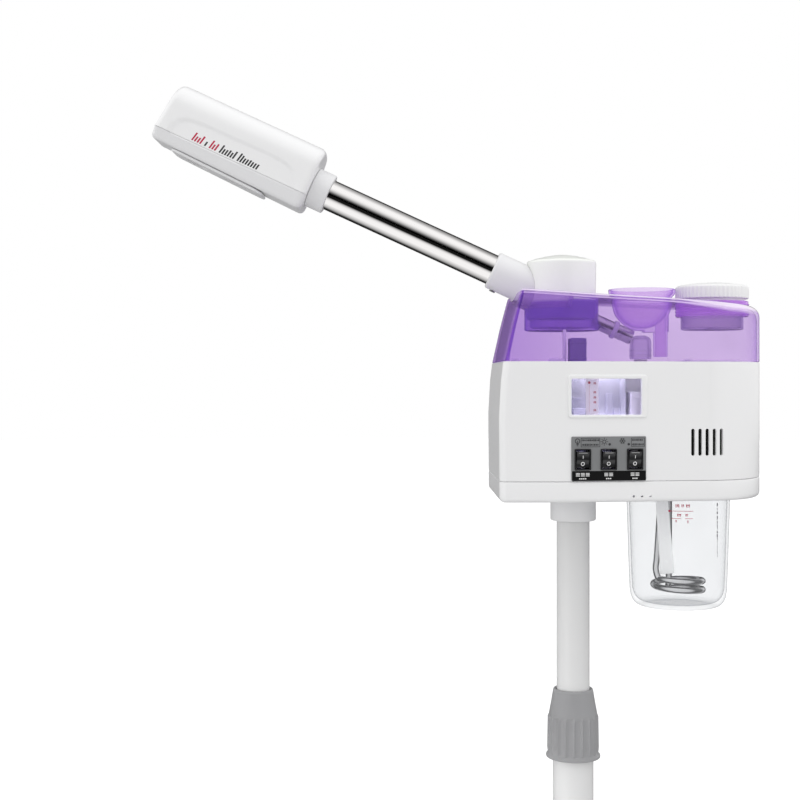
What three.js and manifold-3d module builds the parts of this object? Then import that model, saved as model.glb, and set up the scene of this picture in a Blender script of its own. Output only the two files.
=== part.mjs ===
// Facial steamer on a wheeled stand: star base with twin-wheel castors, telescopic pole,
// steamer body with a glass boiling jar, and a swivelling steam arm with its nozzle head.
// Millimetres, +Z up, +X to the machine's right, -Y to the front. The origin is on the floor,
// at the middle of the whole machine's footprint box.
import * as THREE from "three";
import { mergeVertices } from "three/addons/utils/BufferGeometryUtils.js";
import Module from "manifold-3d";

const wasm = await Module();
wasm.setup();

// ---------------------------------------------------------------- driving dimensions
const POLE_X = 77.41; // pole axis from the origin along X
// stand
const STEM_R = 228; // castor stem circle
const WHEEL_R = 25, TRAIL = 18;
const HUB_TOP = 120;
const LOWER_R = 21, UPPER_R = 17;
const NUT_LOW = 530, NUT_TOP = 601;
const UPPER_LOW = 300, UPPER_TOP = 827;
// body
const BODY_LOW = 800.8, PART_Z = 821.3, SEAM_Z = 939.5;
const BACK_Y = 87, LEFT_X = -82.5, END_X = 194.5, END_Y = 10.5, END_START = 125;
const FACET_X0 = -20, FACET_Y0 = -86.3, FACET_SLOPE = 0.14;
const WALL = 2.5;
const ROOF_Z0 = 1010, ROOF_X0 = -64, ROOF_SLOPE = 0.0495;
const GAP = 0.3;
// jar and heater
const JAR_X = 109, JAR_LOW = 687.5, JAR_TOP = 848, JAR_R = 53.1;
const COIL_R = 25, COIL_TUBE = 3.2, COIL_TOP = 716.5, COIL_PITCH = 9;
// arm
const HUB_X = -12.2, ARM_Z = 1002.5, ARM_TILT = (24.7 * Math.PI) / 180;
const SOCKET_R = 19.7, TUBE_R = 16, TUBE_END = 284;
const WELL_R = 38.2, WELL_IN = 36.5, WELL_LOW = 972;
// top pieces
const BOWL_X = 71.4, CAP_X = 144.3;

// ---------------------------------------------------------------- helpers
const solid = (g) => {
  const c = g.clone();
  for (const n of Object.keys(c.attributes)) if (n !== "position") c.deleteAttribute(n);
  const m = mergeVertices(c, 1e-4);
  return new wasm.Manifold(
    new wasm.Mesh({
      numProp: 3,
      vertProperties: new Float32Array(m.attributes.position.array),
      triVerts: new Uint32Array(m.index.array),
    }),
  );
};
const geometry = (m) => {
  const mesh = m.getMesh();
  const g = new THREE.BufferGeometry();
  g.setAttribute("position", new THREE.BufferAttribute(new Float32Array(mesh.vertProperties), 3));
  g.setIndex(new THREE.BufferAttribute(new Uint32Array(mesh.triVerts), 1));
  g.computeVertexNormals();
  return g;
};
const as = (x) => (x.isBufferGeometry ? solid(x) : x);
const union = (...xs) => xs.map(as).reduce((a, b) => a.add(b));
const minus = (a, ...xs) => xs.map(as).reduce((p, b) => p.subtract(b), as(a));
// facet counts follow the nominal count times FINE
const FINE = 0.7;
const facets = (n) => Math.max(8, 2 * Math.round((n * FINE) / 2));
const cyl = (r, z0, z1, n = 24, x = 0, y = 0, r2 = r) =>
  new THREE.CylinderGeometry(r2, r, z1 - z0, facets(n)).rotateX(Math.PI / 2).translate(x, y, (z0 + z1) / 2);
const box = (x0, x1, y0, y1, z0, z1) =>
  new THREE.BoxGeometry(x1 - x0, y1 - y0, z1 - z0).translate((x0 + x1) / 2, (y0 + y1) / 2, (z0 + z1) / 2);
const turned = (pts, n = 32, x = 0, y = 0) =>
  new THREE.LatheGeometry(pts.map((p) => new THREE.Vector2(p[0], p[1])), facets(n)).rotateX(Math.PI / 2).translate(x, y, 0);
// closed ring profile between two radii
const ring = (r0, r1, z0, z1, n = 32, x = 0, y = 0) =>
  turned([[r0, z0], [r1, z0], [r1, z1], [r0, z1], [r0, z0]], n, x, y);
// skin over rings of equal count, closed with a fan at each end
const loft = (rings) => {
  const n = rings[0].length, pos = [], idx = [];
  for (const r of rings) for (const p of r) pos.push(...p);
  const mid = (r) => r.reduce((a, p) => [a[0] + p[0] / n, a[1] + p[1] / n, a[2] + p[2] / n], [0, 0, 0]);
  pos.push(...mid(rings[0]), ...mid(rings[rings.length - 1]));
  const c0 = rings.length * n, c1 = c0 + 1, last = (rings.length - 1) * n;
  for (let k = 0; k < rings.length - 1; k++)
    for (let i = 0; i < n; i++) {
      const j = (i + 1) % n, a = k * n + i, b = k * n + j, c = a + n, d = b + n;
      idx.push(a, b, d, a, d, c);
    }
  for (let i = 0; i < n; i++) {
    const j = (i + 1) % n;
    idx.push(c0, j, i, c1, last + i, last + j);
  }
  const g = new THREE.BufferGeometry();
  g.setAttribute("position", new THREE.BufferAttribute(new Float32Array(pos), 3));
  g.setIndex(idx);
  return g;
};
const mat = (color, roughness = 0.4, metalness = 0, opacity = 1) =>
  new THREE.MeshStandardMaterial({ color, roughness, metalness, opacity, transparent: opacity < 1 });
const WHITE = 0xececee, PURPLE = 0x9d74d8, LILAC = 0xc9b1e2, STEEL = 0xc8c8cc, DARK = 0x1c1c1f;

const machine = new THREE.Group();
machine.position.x = POLE_X;
const add = (parent, name, shape, material) => {
  const m = new THREE.Mesh(shape.isBufferGeometry ? shape : geometry(shape), material);
  m.name = name;
  parent.add(m);
  return m;
};

// ---------------------------------------------------------------- stand
const legSection = (r, half, z0, z1) => {
  const c = Math.min(half, (z1 - z0) / 2) * 0.5;
  return [
    [r, -half, z0], [r, half, z0], [r, half, z1 - c], [r, half - c, z1 - c * 0.25],
    [r, 0, z1], [r, -half + c, z1 - c * 0.25], [r, -half, z1 - c],
  ];
};
const leg = union(
  loft([
    legSection(10, 21, 66, 114), legSection(60, 18.5, 64.5, 101),
    legSection(130, 16, 62.5, 86), legSection(STEM_R, 13, 60, 77),
  ]),
  cyl(13.5, 60, 77, 16, STEM_R),
);
const legCopies = [0, 1, 2, 3, 4].map((i) => leg.rotate([0, 0, i * 72]));
let star = union(...legCopies, turned([[0, 62], [37, 62], [39, 66], [38, 98], [33, 113], [28, HUB_TOP], [0, HUB_TOP]], 30));
star = minus(star, cyl(LOWER_R + GAP, 70, 130, 32));
for (let i = 0; i < 5; i++) {
  const a = (i * 72 * Math.PI) / 180;
  star = minus(star, cyl(5.8, 50, 74, 16, STEM_R * Math.cos(a), STEM_R * Math.sin(a)));
}
add(machine, "star_base", star, mat(WHITE, 0.35));

for (let i = 0; i < 5; i++) {
  const g = new THREE.Group();
  g.position.set(STEM_R * Math.cos((i * 72 * Math.PI) / 180), STEM_R * Math.sin((i * 72 * Math.PI) / 180), 0);
  g.rotation.z = (i * 72 * Math.PI) / 180;
  machine.add(g);
  const across = (r, w0, w1, n = 16) =>
    new THREE.CylinderGeometry(r, r, w1 - w0, n).translate(TRAIL, (w0 + w1) / 2, WHEEL_R);
  const hoodShape = new THREE.Shape();
  hoodShape.absarc(0, 0, 29, -0.25, Math.PI + 0.1, false);
  hoodShape.absarc(0, 0, 26.6, Math.PI + 0.1, -0.25, true);
  const hood = new THREE.ExtrudeGeometry(hoodShape, { depth: 42, bevelEnabled: false, curveSegments: 6 })
    .rotateX(Math.PI / 2).translate(TRAIL, 21, WHEEL_R);
  let frame = union(hood, minus(cyl(9, 40, 57, 16), across(26.6, -30, 30)), cyl(5.4, 55, 73.5, 12));
  frame = union(frame, across(27, -4, 4, 12));
  frame = minus(frame, across(4.4, -30, 30, 10), box(TRAIL - 30, TRAIL + 30, -5, 5, -5, 6));
  add(g, `castor_${i + 1}_frame`, frame, mat(0x2b2b2e, 0.5));
  const wheel = (s) => turned([[0, 4.8], [23.5, 4.8], [WHEEL_R, 8], [WHEEL_R, 15.5], [21, 20.6], [0, 20.6]], 23)
    .rotateX(s > 0 ? -Math.PI / 2 : Math.PI / 2).translate(TRAIL, 0, WHEEL_R);
  add(g, `castor_${i + 1}_wheels`, union(wheel(1), wheel(-1), across(4, -10, 10, 8)), mat(0x3a3a3d, 0.6));
}

// telescopic pole with its clamp
add(machine, "lower_pole", ring(19.5, LOWER_R, 70.3, 574, 32), mat(WHITE, 0.3));
add(machine, "pole_collet", turned([[17.4, 550], [19.2, 550], [19.2, 574.3], [20.7, 574.3], [20.7, 577], [18.2, 592], [17.4, 592], [17.4, 550]], 28), mat(0xd8d8dc, 0.6));
const nutProfile = [[21.6, NUT_LOW], [27.8, NUT_LOW], [27.8, 534], [25.9, 535.5], [25.2, 574], [21.3, 599], [20.2, NUT_TOP], [17.5, NUT_TOP], [17.5, 597], [18.8, 596], [21.6, 577.5], [21.6, NUT_LOW]];
const ribs = [];
for (let i = 0; i < 13; i++) {
  const a = (i * 2 * Math.PI) / 13;
  ribs.push(new THREE.BoxGeometry(3, 4.2, 38).translate(25.6, 0, 556).rotateZ(a));
}
add(machine, "clamp_nut", union(turned(nutProfile, 32), ...ribs), mat(0x9b9b9e, 0.45));
add(machine, "upper_pole", ring(15.6, UPPER_R, UPPER_LOW, UPPER_TOP, 32), mat(WHITE, 0.3));
add(machine, "pole_socket", turned([[UPPER_R + GAP, 775.5], [22.5, 775.5], [23.5, 776.5], [23.5, 803.8], [40, 803.8], [40, 807.5], [25, 811], [24, 828], [UPPER_R + GAP, 828], [UPPER_R + GAP, 775.5]], 32), mat(WHITE, 0.45));

// ---------------------------------------------------------------- body outline
// Flat back, square left end with small corners, a front that runs back gently to the right
// and a round right end.
const leanTable = [[800, -82.5], [885, -83], [903, -82], [921, -81], [939.5, -78.7], [956, -75], [974, -71], [992, -66.5], [1012, -61]];
const leftAt = (z) => {
  for (let i = 1; i < leanTable.length; i++)
    if (z <= leanTable[i][0]) {
      const [z0, x0] = leanTable[i - 1], [z1, x1] = leanTable[i];
      return x0 + ((x1 - x0) * (z - z0)) / (z1 - z0);
    }
  return -61;
};
const frontAt = (x) => (x < FACET_X0 ? FACET_Y0 : FACET_Y0 + FACET_SLOPE * (x - FACET_X0));
const outlinePoints = () => {
  const p = [];
  const arc = (cx, cy, r, a0, a1, n) => {
    for (let i = 0; i <= n; i++) {
      const a = ((a0 + ((a1 - a0) * i) / n) * Math.PI) / 180;
      p.push([cx + r * Math.cos(a), cy + r * Math.sin(a)]);
    }
  };
  arc(LEFT_X + 8, FACET_Y0 + 8, 8, 180, 270, 3);
  for (const x of [FACET_X0, 25.5, 75]) p.push([x, frontAt(x)]);
  const y0 = frontAt(END_START), a = END_X - END_START, b0 = END_Y - y0, b1 = BACK_Y - END_Y;
  for (let i = 0; i <= 14; i++) {
    const t = (-90 + (180 * i) / 14) * (Math.PI / 180), c = Math.cos(t), s = Math.sin(t);
    const e = 2 / 1.85, k = (v) => Math.sign(v) * Math.abs(v) ** e;
    p.push([END_START + a * Math.max(0, k(c)), END_Y + (s < 0 ? b0 : b1) * k(s)]);
  }
  for (const x of [75, 25.5, FACET_X0]) p.push([x, BACK_Y]);
  arc(LEFT_X + 8, BACK_Y - 8, 8, 90, 180, 3);
  for (const y of [40, 0, -40]) p.push([LEFT_X, y]);
  return p;
};
const OUT = outlinePoints();
// outward normals of the outline, for insets
const NORM = OUT.map((p, i) => {
  const a = OUT[(i + OUT.length - 1) % OUT.length], b = OUT[(i + 1) % OUT.length];
  const dx = b[0] - a[0], dy = b[1] - a[1], l = Math.hypot(dx, dy);
  return [dy / l, -dx / l];
});
const outlineAt = (inset, z, lean = true) =>
  OUT.map((p, i) => {
    const d = typeof inset === "function" ? inset(p[0]) : inset;
    let x = p[0] - NORM[i][0] * d, y = p[1] - NORM[i][1] * d;
    const zz = typeof z === "function" ? z(p[0]) : z;
    if (lean && x < 0) x *= (leftAt(zz) + 0) / LEFT_X;
    return [x, y, zz];
  });
const roofAt = (x) => ROOF_Z0 - ROOF_SLOPE * (x - ROOF_X0);
const seg = (z0, z1, inset) => [outlineAt(inset, z0), outlineAt(inset, z1)];

// lower tray
let tray = minus(
  loft([outlineAt(4, BODY_LOW), outlineAt(1.2, BODY_LOW + 1.2), outlineAt(0, BODY_LOW + 4), outlineAt(0, PART_Z)]),
  loft(seg(BODY_LOW + 2.7, PART_Z + 5, WALL)),
  cyl(24, 790, 810, 32),
  cyl(55.5, 790, 810, 40, JAR_X),
);
for (const x of [50, 58.3, 66.6]) tray = minus(tray, cyl(1.3, -6, 6, 8).rotateX(Math.PI / 2).translate(x, frontAt(x), 807));
add(machine, "lower_tray", tray, mat(WHITE, 0.4));

// front facet frame: x along the facet, -y outwards
const PHI = Math.atan(FACET_SLOPE);
const facet = new THREE.Matrix4().makeTranslation(25.5, frontAt(25.5), 0).multiply(new THREE.Matrix4().makeRotationZ(PHI));
const fx = (x) => (x - 25.5) / Math.cos(PHI);
const fbox = (x0, x1, y0, y1, z0, z1) => box(fx(x0), fx(x1), y0, y1, z0, z1).applyMatrix4(facet);

// main casing
let casing = minus(
  loft([outlineAt(0, PART_Z + GAP), outlineAt(0, 850), outlineAt(0, 885), outlineAt(0, 903), outlineAt(0, 921), outlineAt(0, SEAM_Z - GAP / 2)]),
  loft([outlineAt(WALL, PART_Z - 5), outlineAt(WALL, 885), outlineAt(WALL, 921), outlineAt(WALL, SEAM_Z + 5)]),
  fbox(-11, 60.3, -8, 8, 824.5, 864),
  fbox(-14, 61.5, -8, 8, 885.5, 924.5),
);
for (const x of [110, 117.3, 124.6, 131.9]) {
  const y = frontAt(x);
  casing = minus(casing, box(-1.15, 1.15, -9, 9, 846.5, 872.2).rotateZ(x > 125 ? 0.3 : PHI).translate(x, y, 0));
}
casing = minus(casing, box(-1.1, 1.1, -9, 9, 846.5, 872.2).rotateZ(0.45).translate(139, frontAt(139) + 2, 0));
for (let i = 0; i < 6; i++) casing = minus(casing, box(62, 108, 80, 95, 868 + i * 6.5, 871 + i * 6.5));
casing = minus(casing, box(-52.2, -27.8, 80, 95, 828.8, 847.2));
add(machine, "main_casing", casing, mat(WHITE, 0.35));

// window, its pane and the level scale behind it
const front = new THREE.Group();
front.applyMatrix4(facet);
machine.add(front);
const lbox = (x0, x1, y0, y1, z0, z1) => box(fx(x0), fx(x1), y0, y1, z0, z1);
add(front, "window_frame", minus(
  union(lbox(-16, 63.5, -1.4, -0.3, 883.8, 926.2), lbox(-13.7, 61.2, -0.5, 3, 885.8, 924.2)),
  lbox(-12.5, 57.6, -5, 5, 886.9, 922.2),
), mat(WHITE, 0.35));
add(front, "window_pane", lbox(-12.2, 57.3, 0, 1.6, 887.2, 921.9), mat(0xe8e2f4, 0.1, 0, 0.35));
add(front, "level_scale", lbox(3.5, 16.2, 6, 7.2, 886.5, 922.5), mat(0xf2f0f4, 0.4));

// switch panel with three rocker switches
let panel = union(lbox(-12.7, 62, -1.5, -0.3, 822, 865.7), lbox(-10.7, 60, -0.5, 2, 824.8, 863.7));
const SWITCH_X = [-1.7, 24.2, 50.6], SWITCH_Z = 843.2;
for (const x of SWITCH_X) panel = minus(panel, lbox(x - 7.6, x + 7.6, -5, 5, SWITCH_Z - 9.9, SWITCH_Z + 9.9));
add(front, "switch_panel", panel, mat(0x828385, 0.5));
const names = ["light", "heat", "mist"];
SWITCH_X.forEach((x, i) => {
  const body = minus(
    union(lbox(x - 8.15, x + 8.15, -3, -1.8, SWITCH_Z - 10.5, SWITCH_Z + 10.5), lbox(x - 7.3, x + 7.3, -2, 12, SWITCH_Z - 9.6, SWITCH_Z + 9.6)),
    lbox(x - 6.6, x + 6.6, -8, 8, SWITCH_Z - 9, SWITCH_Z + 9),
  );
  add(front, `switch_${names[i]}_body`, body, mat(DARK, 0.4));
  const s = new THREE.Shape([[5, -6.4], [-1.6, -7.8], [-2.9, -0.6], [-4.6, 7.8], [5, 6.4]].map((p) => new THREE.Vector2(p[0], p[1])));
  // profile x is depth behind the face, profile y is height
  const g = new THREE.ExtrudeGeometry(s, { depth: 12.6, bevelEnabled: false }).translate(0, 0, -6.3);
  g.applyMatrix4(new THREE.Matrix4().makeBasis(new THREE.Vector3(0, 1, 0), new THREE.Vector3(0, 0, 1), new THREE.Vector3(1, 0, 0)));
  g.translate(fx(x), 0, SWITCH_Z);
  add(front, `rocker_${names[i]}`, g, mat(DARK, 0.3));
});

// ---------------------------------------------------------------- inside the casing
let deck = loft(seg(934.5, 937, WALL + 0.6));
deck = minus(deck, cyl(12, 930, 940, 20, 70), cyl(9, 930, 940, 16, 91), cyl(29.5, 930, 940, 24, CAP_X - 2));
deck = union(deck, box(-30.5, -14.5, -52, -44, 936, 942.5));
add(machine, "inner_deck", deck, mat(0xe4dff0, 0.5));
add(machine, "cold_water_tank", minus(box(-70, 46, -60, 64, 842, 934), box(-67.8, 43.8, -57.8, 61.8, 844.2, 940)), mat(0xeef0f6, 0.3, 0, 0.5));
add(machine, "mist_transducer", turned([[0, 828], [15, 828], [15, 833], [19, 833], [19, 841.7], [0, 841.7]], 20, -44, 0), mat(0xb9a15a, 0.4, 0.8));
add(machine, "jar_holder", minus(
  turned([[54.3, 826], [59, 826], [59.5, 852], [58, 856], [0, 856], [0, 851], [54.3, 851], [54.3, 826]], 36, JAR_X),
  cyl(COIL_TUBE + 1.2, 840, 860, 12, JAR_X - 15.3, -3), cyl(COIL_TUBE + 0.6, 840, 860, 12, JAR_X - 7.5, 9), cyl(7, 840, 860, 16, 76), cyl(9, 840, 860, 16, JAR_X + 30, 0),
), mat(0xdcdce0, 0.5));
add(machine, "jar_gasket", ring(48.5, 53.4, JAR_TOP + GAP, 850.7, 32, JAR_X), mat(0xd8c8c0, 0.7));
add(machine, "glass_jar", turned([
  [0, JAR_LOW], [32, JAR_LOW], [42, 689.4], [47.5, 695], [49.5, 704], [JAR_R, 796], [JAR_R, JAR_TOP],
  [50.2, JAR_TOP], [50.2, 796], [46.6, 705], [44.8, 697.5], [40.5, 693], [32, 691], [0, 691],
], 40, JAR_X), mat(0xeef2f6, 0.05, 0, 0.3));

// heating coil: down one riser, two turns, up the other
const coilPts = [[-15, -3, 857], [-18.5, -3, 800], [-21, -3.5, 760], [-22.8, -5, 738], [-24.6, -8.5, 726]];
for (let i = 0; i <= 40; i++) {
  const a = Math.PI * (1.15 + (i / 40) * 3.4), z = COIL_TOP - (i / 40) * COIL_PITCH * 1.7;
  coilPts.push([COIL_R * Math.cos(a), COIL_R * Math.sin(a), z]);
}
coilPts.push([-7.3, 19.5, 701.6], [-7.5, 13, 706], [-7.5, 9.6, 716], [-7.5, 9, 735], [-7.5, 9, 800], [-7.5, 9, 857]);
const coilCurve = new THREE.CatmullRomCurve3(coilPts.map((p) => new THREE.Vector3(JAR_X + p[0], p[1], p[2])), false, "centripetal");
const disc = (r, n) => {
  const s = new THREE.Shape();
  for (let i = 0; i < n; i++) {
    const a = (i / n) * 2 * Math.PI;
    i ? s.lineTo(r * Math.cos(a), r * Math.sin(a)) : s.moveTo(r * Math.cos(a), r * Math.sin(a));
  }
  return s;
};
add(machine, "heater_coil", new THREE.ExtrudeGeometry(disc(COIL_TUBE, 6), { steps: 62, extrudePath: coilCurve, bevelEnabled: false }), mat(0xa8a8ac, 0.25, 1));
const strip = new THREE.Shape([[-7.2, 0], [7.2, 0], [5.5, 129], [-5.5, 129]].map((p) => new THREE.Vector2(p[0], p[1])));
const stripG = new THREE.ExtrudeGeometry(strip, { depth: 2, bevelEnabled: false });
stripG.applyMatrix4(new THREE.Matrix4().makeBasis(new THREE.Vector3(1, 0, 0), new THREE.Vector3(0, 0, 1), new THREE.Vector3(0, -1, 0)));
stripG.rotateY(-0.078).translate(JAR_X - 12.8, -9, 721);
add(machine, "level_probe", stripG, mat(0xf0f0f0, 0.5));

// steam path: hose from the jar, glass outlet, pipe into the well
const hose = new THREE.CatmullRomCurve3([[76, 0, 853], [76, 0, 872], [73, 0, 900], [70, 0, 925], [70, 0, 942.5]].map((p) => new THREE.Vector3(...p)));
add(machine, "steam_hose", minus(
  new THREE.ExtrudeGeometry(disc(6.4, 9), { steps: 8, extrudePath: hose, bevelEnabled: false }),
  new THREE.ExtrudeGeometry(disc(4.4, 8), { steps: 8, extrudePath: new THREE.CatmullRomCurve3([[76, 0, 850], [76, 0, 872], [73, 0, 900], [70, 0, 925], [70, 0, 946]].map((p) => new THREE.Vector3(...p))), bevelEnabled: false }),
), mat(0xe2e2e6, 0.6));
const pipeDir = new THREE.Vector3(38.5, 0, -17.6).normalize();
const along = (g, from) => {
  const q = new THREE.Quaternion().setFromUnitVectors(new THREE.Vector3(0, 0, 1), pipeDir);
  return g.applyQuaternion(q).translate(...from);
};
const PIPE_FROM = [21.5, 0, 982.9], PIPE_LEN = 43;
add(machine, "steam_pipe", minus(along(ring(6, 7.5, 0, PIPE_LEN, 20), PIPE_FROM)), mat(STEEL, 0.15, 1));
add(machine, "pipe_coupling", along(turned([[7.8, 21], [9, 21.4], [9.4, 23.5], [9, 25.6], [7.8, 26], [7.8, 21]], 20), PIPE_FROM), mat(0xb9a8cc, 0.2, 0.5));
add(machine, "steam_outlet", minus(
  turned([[0, 942.8], [11, 942.8], [11, 960], [9.5, 965], [5, 967], [0, 967]], 24, 70, 0),
  turned([[0, 940], [9.2, 940], [9.2, 959], [8, 963], [4, 965], [0, 965]], 20, 70, 0),
  along(cyl(7.8, -10, PIPE_LEN + 0.4, 20), PIPE_FROM),
), mat(0xf0f0f6, 0.05, 0, 0.4));

// steam well that carries the arm hub
let well = turned([
  [0, WELL_LOW], [WELL_R - 1, WELL_LOW], [WELL_R, WELL_LOW + 1], [WELL_R, 1003.5], [WELL_IN, 1003.5], [WELL_IN, 984], [32.5, 984], [32.5, 975], [0, 975],
], 40, HUB_X, 0);
well = minus(well, box(-80, HUB_X + 3, -60, 60, 994.5, 1020), along(cyl(7.8, -8, 30, 20), PIPE_FROM));
add(machine, "steam_well", well, mat(PURPLE, 0.15, 0, 0.6));

// translucent top cover: one shell with a conical bay round the hub's left half
const roofInset = (x) => (x < 100 ? 3 : x > 150 ? 12 : 3 + (9 * (x - 100)) / 50);
const roundRing = (t) => outlineAt((x) => roofInset(x) * (1 - Math.cos(t)), (x) => roofAt(x) - roofInset(x) * (1 - Math.sin(t)));
const coverOut = loft([
  outlineAt(0, SEAM_Z + GAP / 2), outlineAt(0, 956), outlineAt(0, 974), roundRing(0), roundRing(0.52), roundRing(1.05), roundRing(Math.PI / 2),
]);
const coverIn = loft([
  outlineAt(WALL, SEAM_Z - 4), outlineAt(WALL, 956), outlineAt(WALL, 974),
  outlineAt((x) => WALL + roofInset(x) * 0.1, (x) => roofAt(x) - roofInset(x)),
  outlineAt((x) => WALL + roofInset(x) * 0.75, (x) => roofAt(x) - 2.6),
]);
const bay = (dz, dx) => minus(
  turned([[0, 992.6 + dz], [30, 992.6 + dz], [80, 1015.6 + dz], [80, 1040], [0, 1040]], 48, HUB_X, 0),
  box(HUB_X + 3 + dx, 120, -100, 100, 960, 1060),
);
let cover = minus(coverOut, bay(0, 0), minus(coverIn, bay(-2.4, 2.2)));
cover = minus(cover, cyl(WELL_R + 0.4, 985, 1030, 40, HUB_X), cyl(31.4, 985, 1030, 36, BOWL_X), cyl(38.2, 985, 1030, 40, CAP_X));
add(machine, "top_cover", cover, mat(LILAC, 0.12, 0, 0.5));

// ---------------------------------------------------------------- arm and head
const arm = new THREE.Group();
arm.position.set(HUB_X, 0, ARM_Z);
arm.rotation.y = ARM_TILT; // local -X runs up along the arm, local +Z is square to it
machine.add(arm);
const alongArm = (g) => g.rotateY(-Math.PI / 2); // +Z to -X
const armMatrix = new THREE.Matrix4().makeTranslation(HUB_X, 0, ARM_Z).multiply(new THREE.Matrix4().makeRotationY(ARM_TILT));

const knob = minus(
  turned([[33.2, 984.4], [34.7, 984.4], [34.9, 990], [35.4, 1012], [35.8, 1040], [35, 1043.5], [32.5, 1045.5], [18, 1049.6], [0, 1051],
    [0, 1048], [18, 1046.8], [31, 1043], [33.2, 1039], [33.2, 984.4]], 40, HUB_X, 0),
  alongArm(cyl(SOCKET_R + 0.3, 10, 80, 28)).applyMatrix4(armMatrix),
);
add(machine, "hub_knob", knob, mat(WHITE, 0.35));
add(arm, "arm_socket", minus(
  alongArm(turned([[TUBE_R + GAP, 29], [SOCKET_R, 29], [SOCKET_R, 77.8], [SOCKET_R - 1.5, 79.3], [TUBE_R + GAP, 79.3], [TUBE_R + GAP, 29]], 28)),
  cyl(1.9, -30, -10, 10, -70, 0),
), mat(WHITE, 0.4));
add(arm, "socket_screw", turned([[0, -21], [3.2, -21], [3.2, -20], [1.6, -20], [1.6, -16.4], [0, -16.4]], 12).translate(-70, 0, 0), mat(0x55555a, 0.4, 1));
add(arm, "arm_tube", alongArm(ring(TUBE_R - 1.2, TUBE_R, 36, TUBE_END, 32)), mat(STEEL, 0.12, 1));

// head: rounded box section lofted along the arm
const headSection = (s, half, top, bottom, r = 14, n = 4) => {
  const p = [];
  const corners = [[half, bottom, 1, 1], [half, top, 1, -1], [-half, top, -1, -1], [-half, bottom, -1, 1]];
  const start = [270, 0, 90, 180];
  corners.forEach(([y, z, sy, sz], k) => {
    const cy = y - sy * r, cz = z + sz * r;
    for (let i = 0; i <= n; i++) {
      const a = ((start[k] + (90 * i) / n) * Math.PI) / 180;
      p.push([-s, cy + r * Math.cos(a), cz + r * Math.sin(a)]);
    }
  });
  return p.reverse();
};
const H = (d) => [
  headSection(284.5 + d, 24 - d, 25 - d, -20 + d, 12), headSection(287 + d, 28.5 - d, 31 - d, -24 + d, 13),
  headSection(292 + d * 0.7, 32.5 - d, 36 - d, -27 + d, 14), headSection(300, 34.6 - d, 38.6 - d, -28.4 + d, 14),
  headSection(312, 35 - d, 39.5 - d, -28.6 + d, 14), headSection(380, 35 - d, 39.5 - d, -27 + d, 14),
  headSection(440 - d * 0.4, 34.5 - d, 39.3 - d, -25 + d, 13), headSection(446.5 - d * 0.8, 33 - d, 37.5 - d, -23.8 + d, 12),
  headSection(450 - d, 30 - d, 34 - d, -21 + d, 10),
];
const headOut = loft(H(0)), headIn = loft(H(2.2));
let shell = minus(headOut, headIn);
shell = minus(shell, alongArm(cyl(18.3, 270, 300, 28)), box(-428, -334, -22, 22, -60, -20));
add(arm, "head_upper_shell", minus(shell, box(-520, -200, -80, 80, -80, -12.85)), mat(WHITE, 0.3));
add(arm, "head_lower_shell", minus(shell, box(-520, -200, -80, 80, -13.15, 80)), mat(WHITE, 0.3));
add(arm, "head_collar", alongArm(turned([
  [TUBE_R + GAP, 266.5], [19.8, 265.7], [20.9, 266.9], [20.9, 284.1], [18, 284.1], [18, 292], [20, 292.6], [20, 296], [TUBE_R + GAP, 296], [TUBE_R + GAP, 266.5],
], 28)), mat(WHITE, 0.4));
const plateOut = new THREE.Shape();
const rounded = (s, x0, x1, y0, y1, r) => {
  s.moveTo(x0 + r, y0); s.lineTo(x1 - r, y0); s.absarc(x1 - r, y0 + r, r, -Math.PI / 2, 0, false);
  s.lineTo(x1, y1 - r); s.absarc(x1 - r, y1 - r, r, 0, Math.PI / 2, false);
  s.lineTo(x0 + r, y1); s.absarc(x0 + r, y1 - r, r, Math.PI / 2, Math.PI, false);
  s.lineTo(x0, y0 + r); s.absarc(x0 + r, y0 + r, r, Math.PI, Math.PI * 1.5, false);
  return s;
};
rounded(plateOut, -431, -327, -25, 25, 10);
const neckOut = rounded(new THREE.Shape(), -427.6, -334.4, -21.6, 21.6, 8);
let nozzle = union(
  new THREE.ExtrudeGeometry(plateOut, { depth: 2.6, bevelEnabled: false, curveSegments: 4 }).translate(0, 0, -2.6),
  new THREE.ExtrudeGeometry(neckOut, { depth: 4, bevelEnabled: false, curveSegments: 4 }).translate(0, 0, -0.5),
);
nozzle = minus(nozzle, turned([[0, -6], [13, -6], [11, 6], [0, 6]], 28, -404, 0),
  box(-372, -344, -9, -5.5, -5, 6), box(-372, -344, -1.75, 1.75, -5, 6), box(-372, -344, 5.5, 9, -5, 6));
const nozzleMesh = add(arm, "nozzle_plate", nozzle, mat(WHITE, 0.4));
nozzleMesh.rotation.y = 0.0305;
nozzleMesh.position.set(0, 0, -38.8);

// ---------------------------------------------------------------- top pieces
let bowl = union(
  turned([[0, 972], [10, 972.8], [20.2, 978.4], [27.4, 988], [30.6, 999], [30.6, 1006.2], [34.1, 1009.8], [34.4, 1015],
    [32, 1015], [31.7, 1011], [28.2, 1007], [28.2, 999], [25.2, 989], [18.6, 980.6], [9, 975.4], [0, 974.6]], 34, BOWL_X, 0),
  minus(box(72, 97.8, -12.5, 12.5, 970.5, 990), turned([[0, 974.6], [9, 975.4], [18.6, 980.6], [25.2, 989], [28.2, 999], [28.2, 1004], [0, 1004]], 34, BOWL_X, 0)),
  cyl(7.4, 945, 972, 20, 90.8),
);
bowl = minus(bowl, cyl(5.4, 940, 985, 16, 90.8));
add(machine, "mist_bowl", bowl, mat(PURPLE, 0.12, 0, 0.55));
const thread = [[34.2, 986.5], [36.8, 986.5]];
for (let i = 0; i < 4; i++) thread.push([37.8, 988.6 + i * 3.5], [36.8, 990.4 + i * 3.5]);
thread.push([36.8, 1002.2], [34.2, 1002.2], [34.2, 986.5]);
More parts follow.
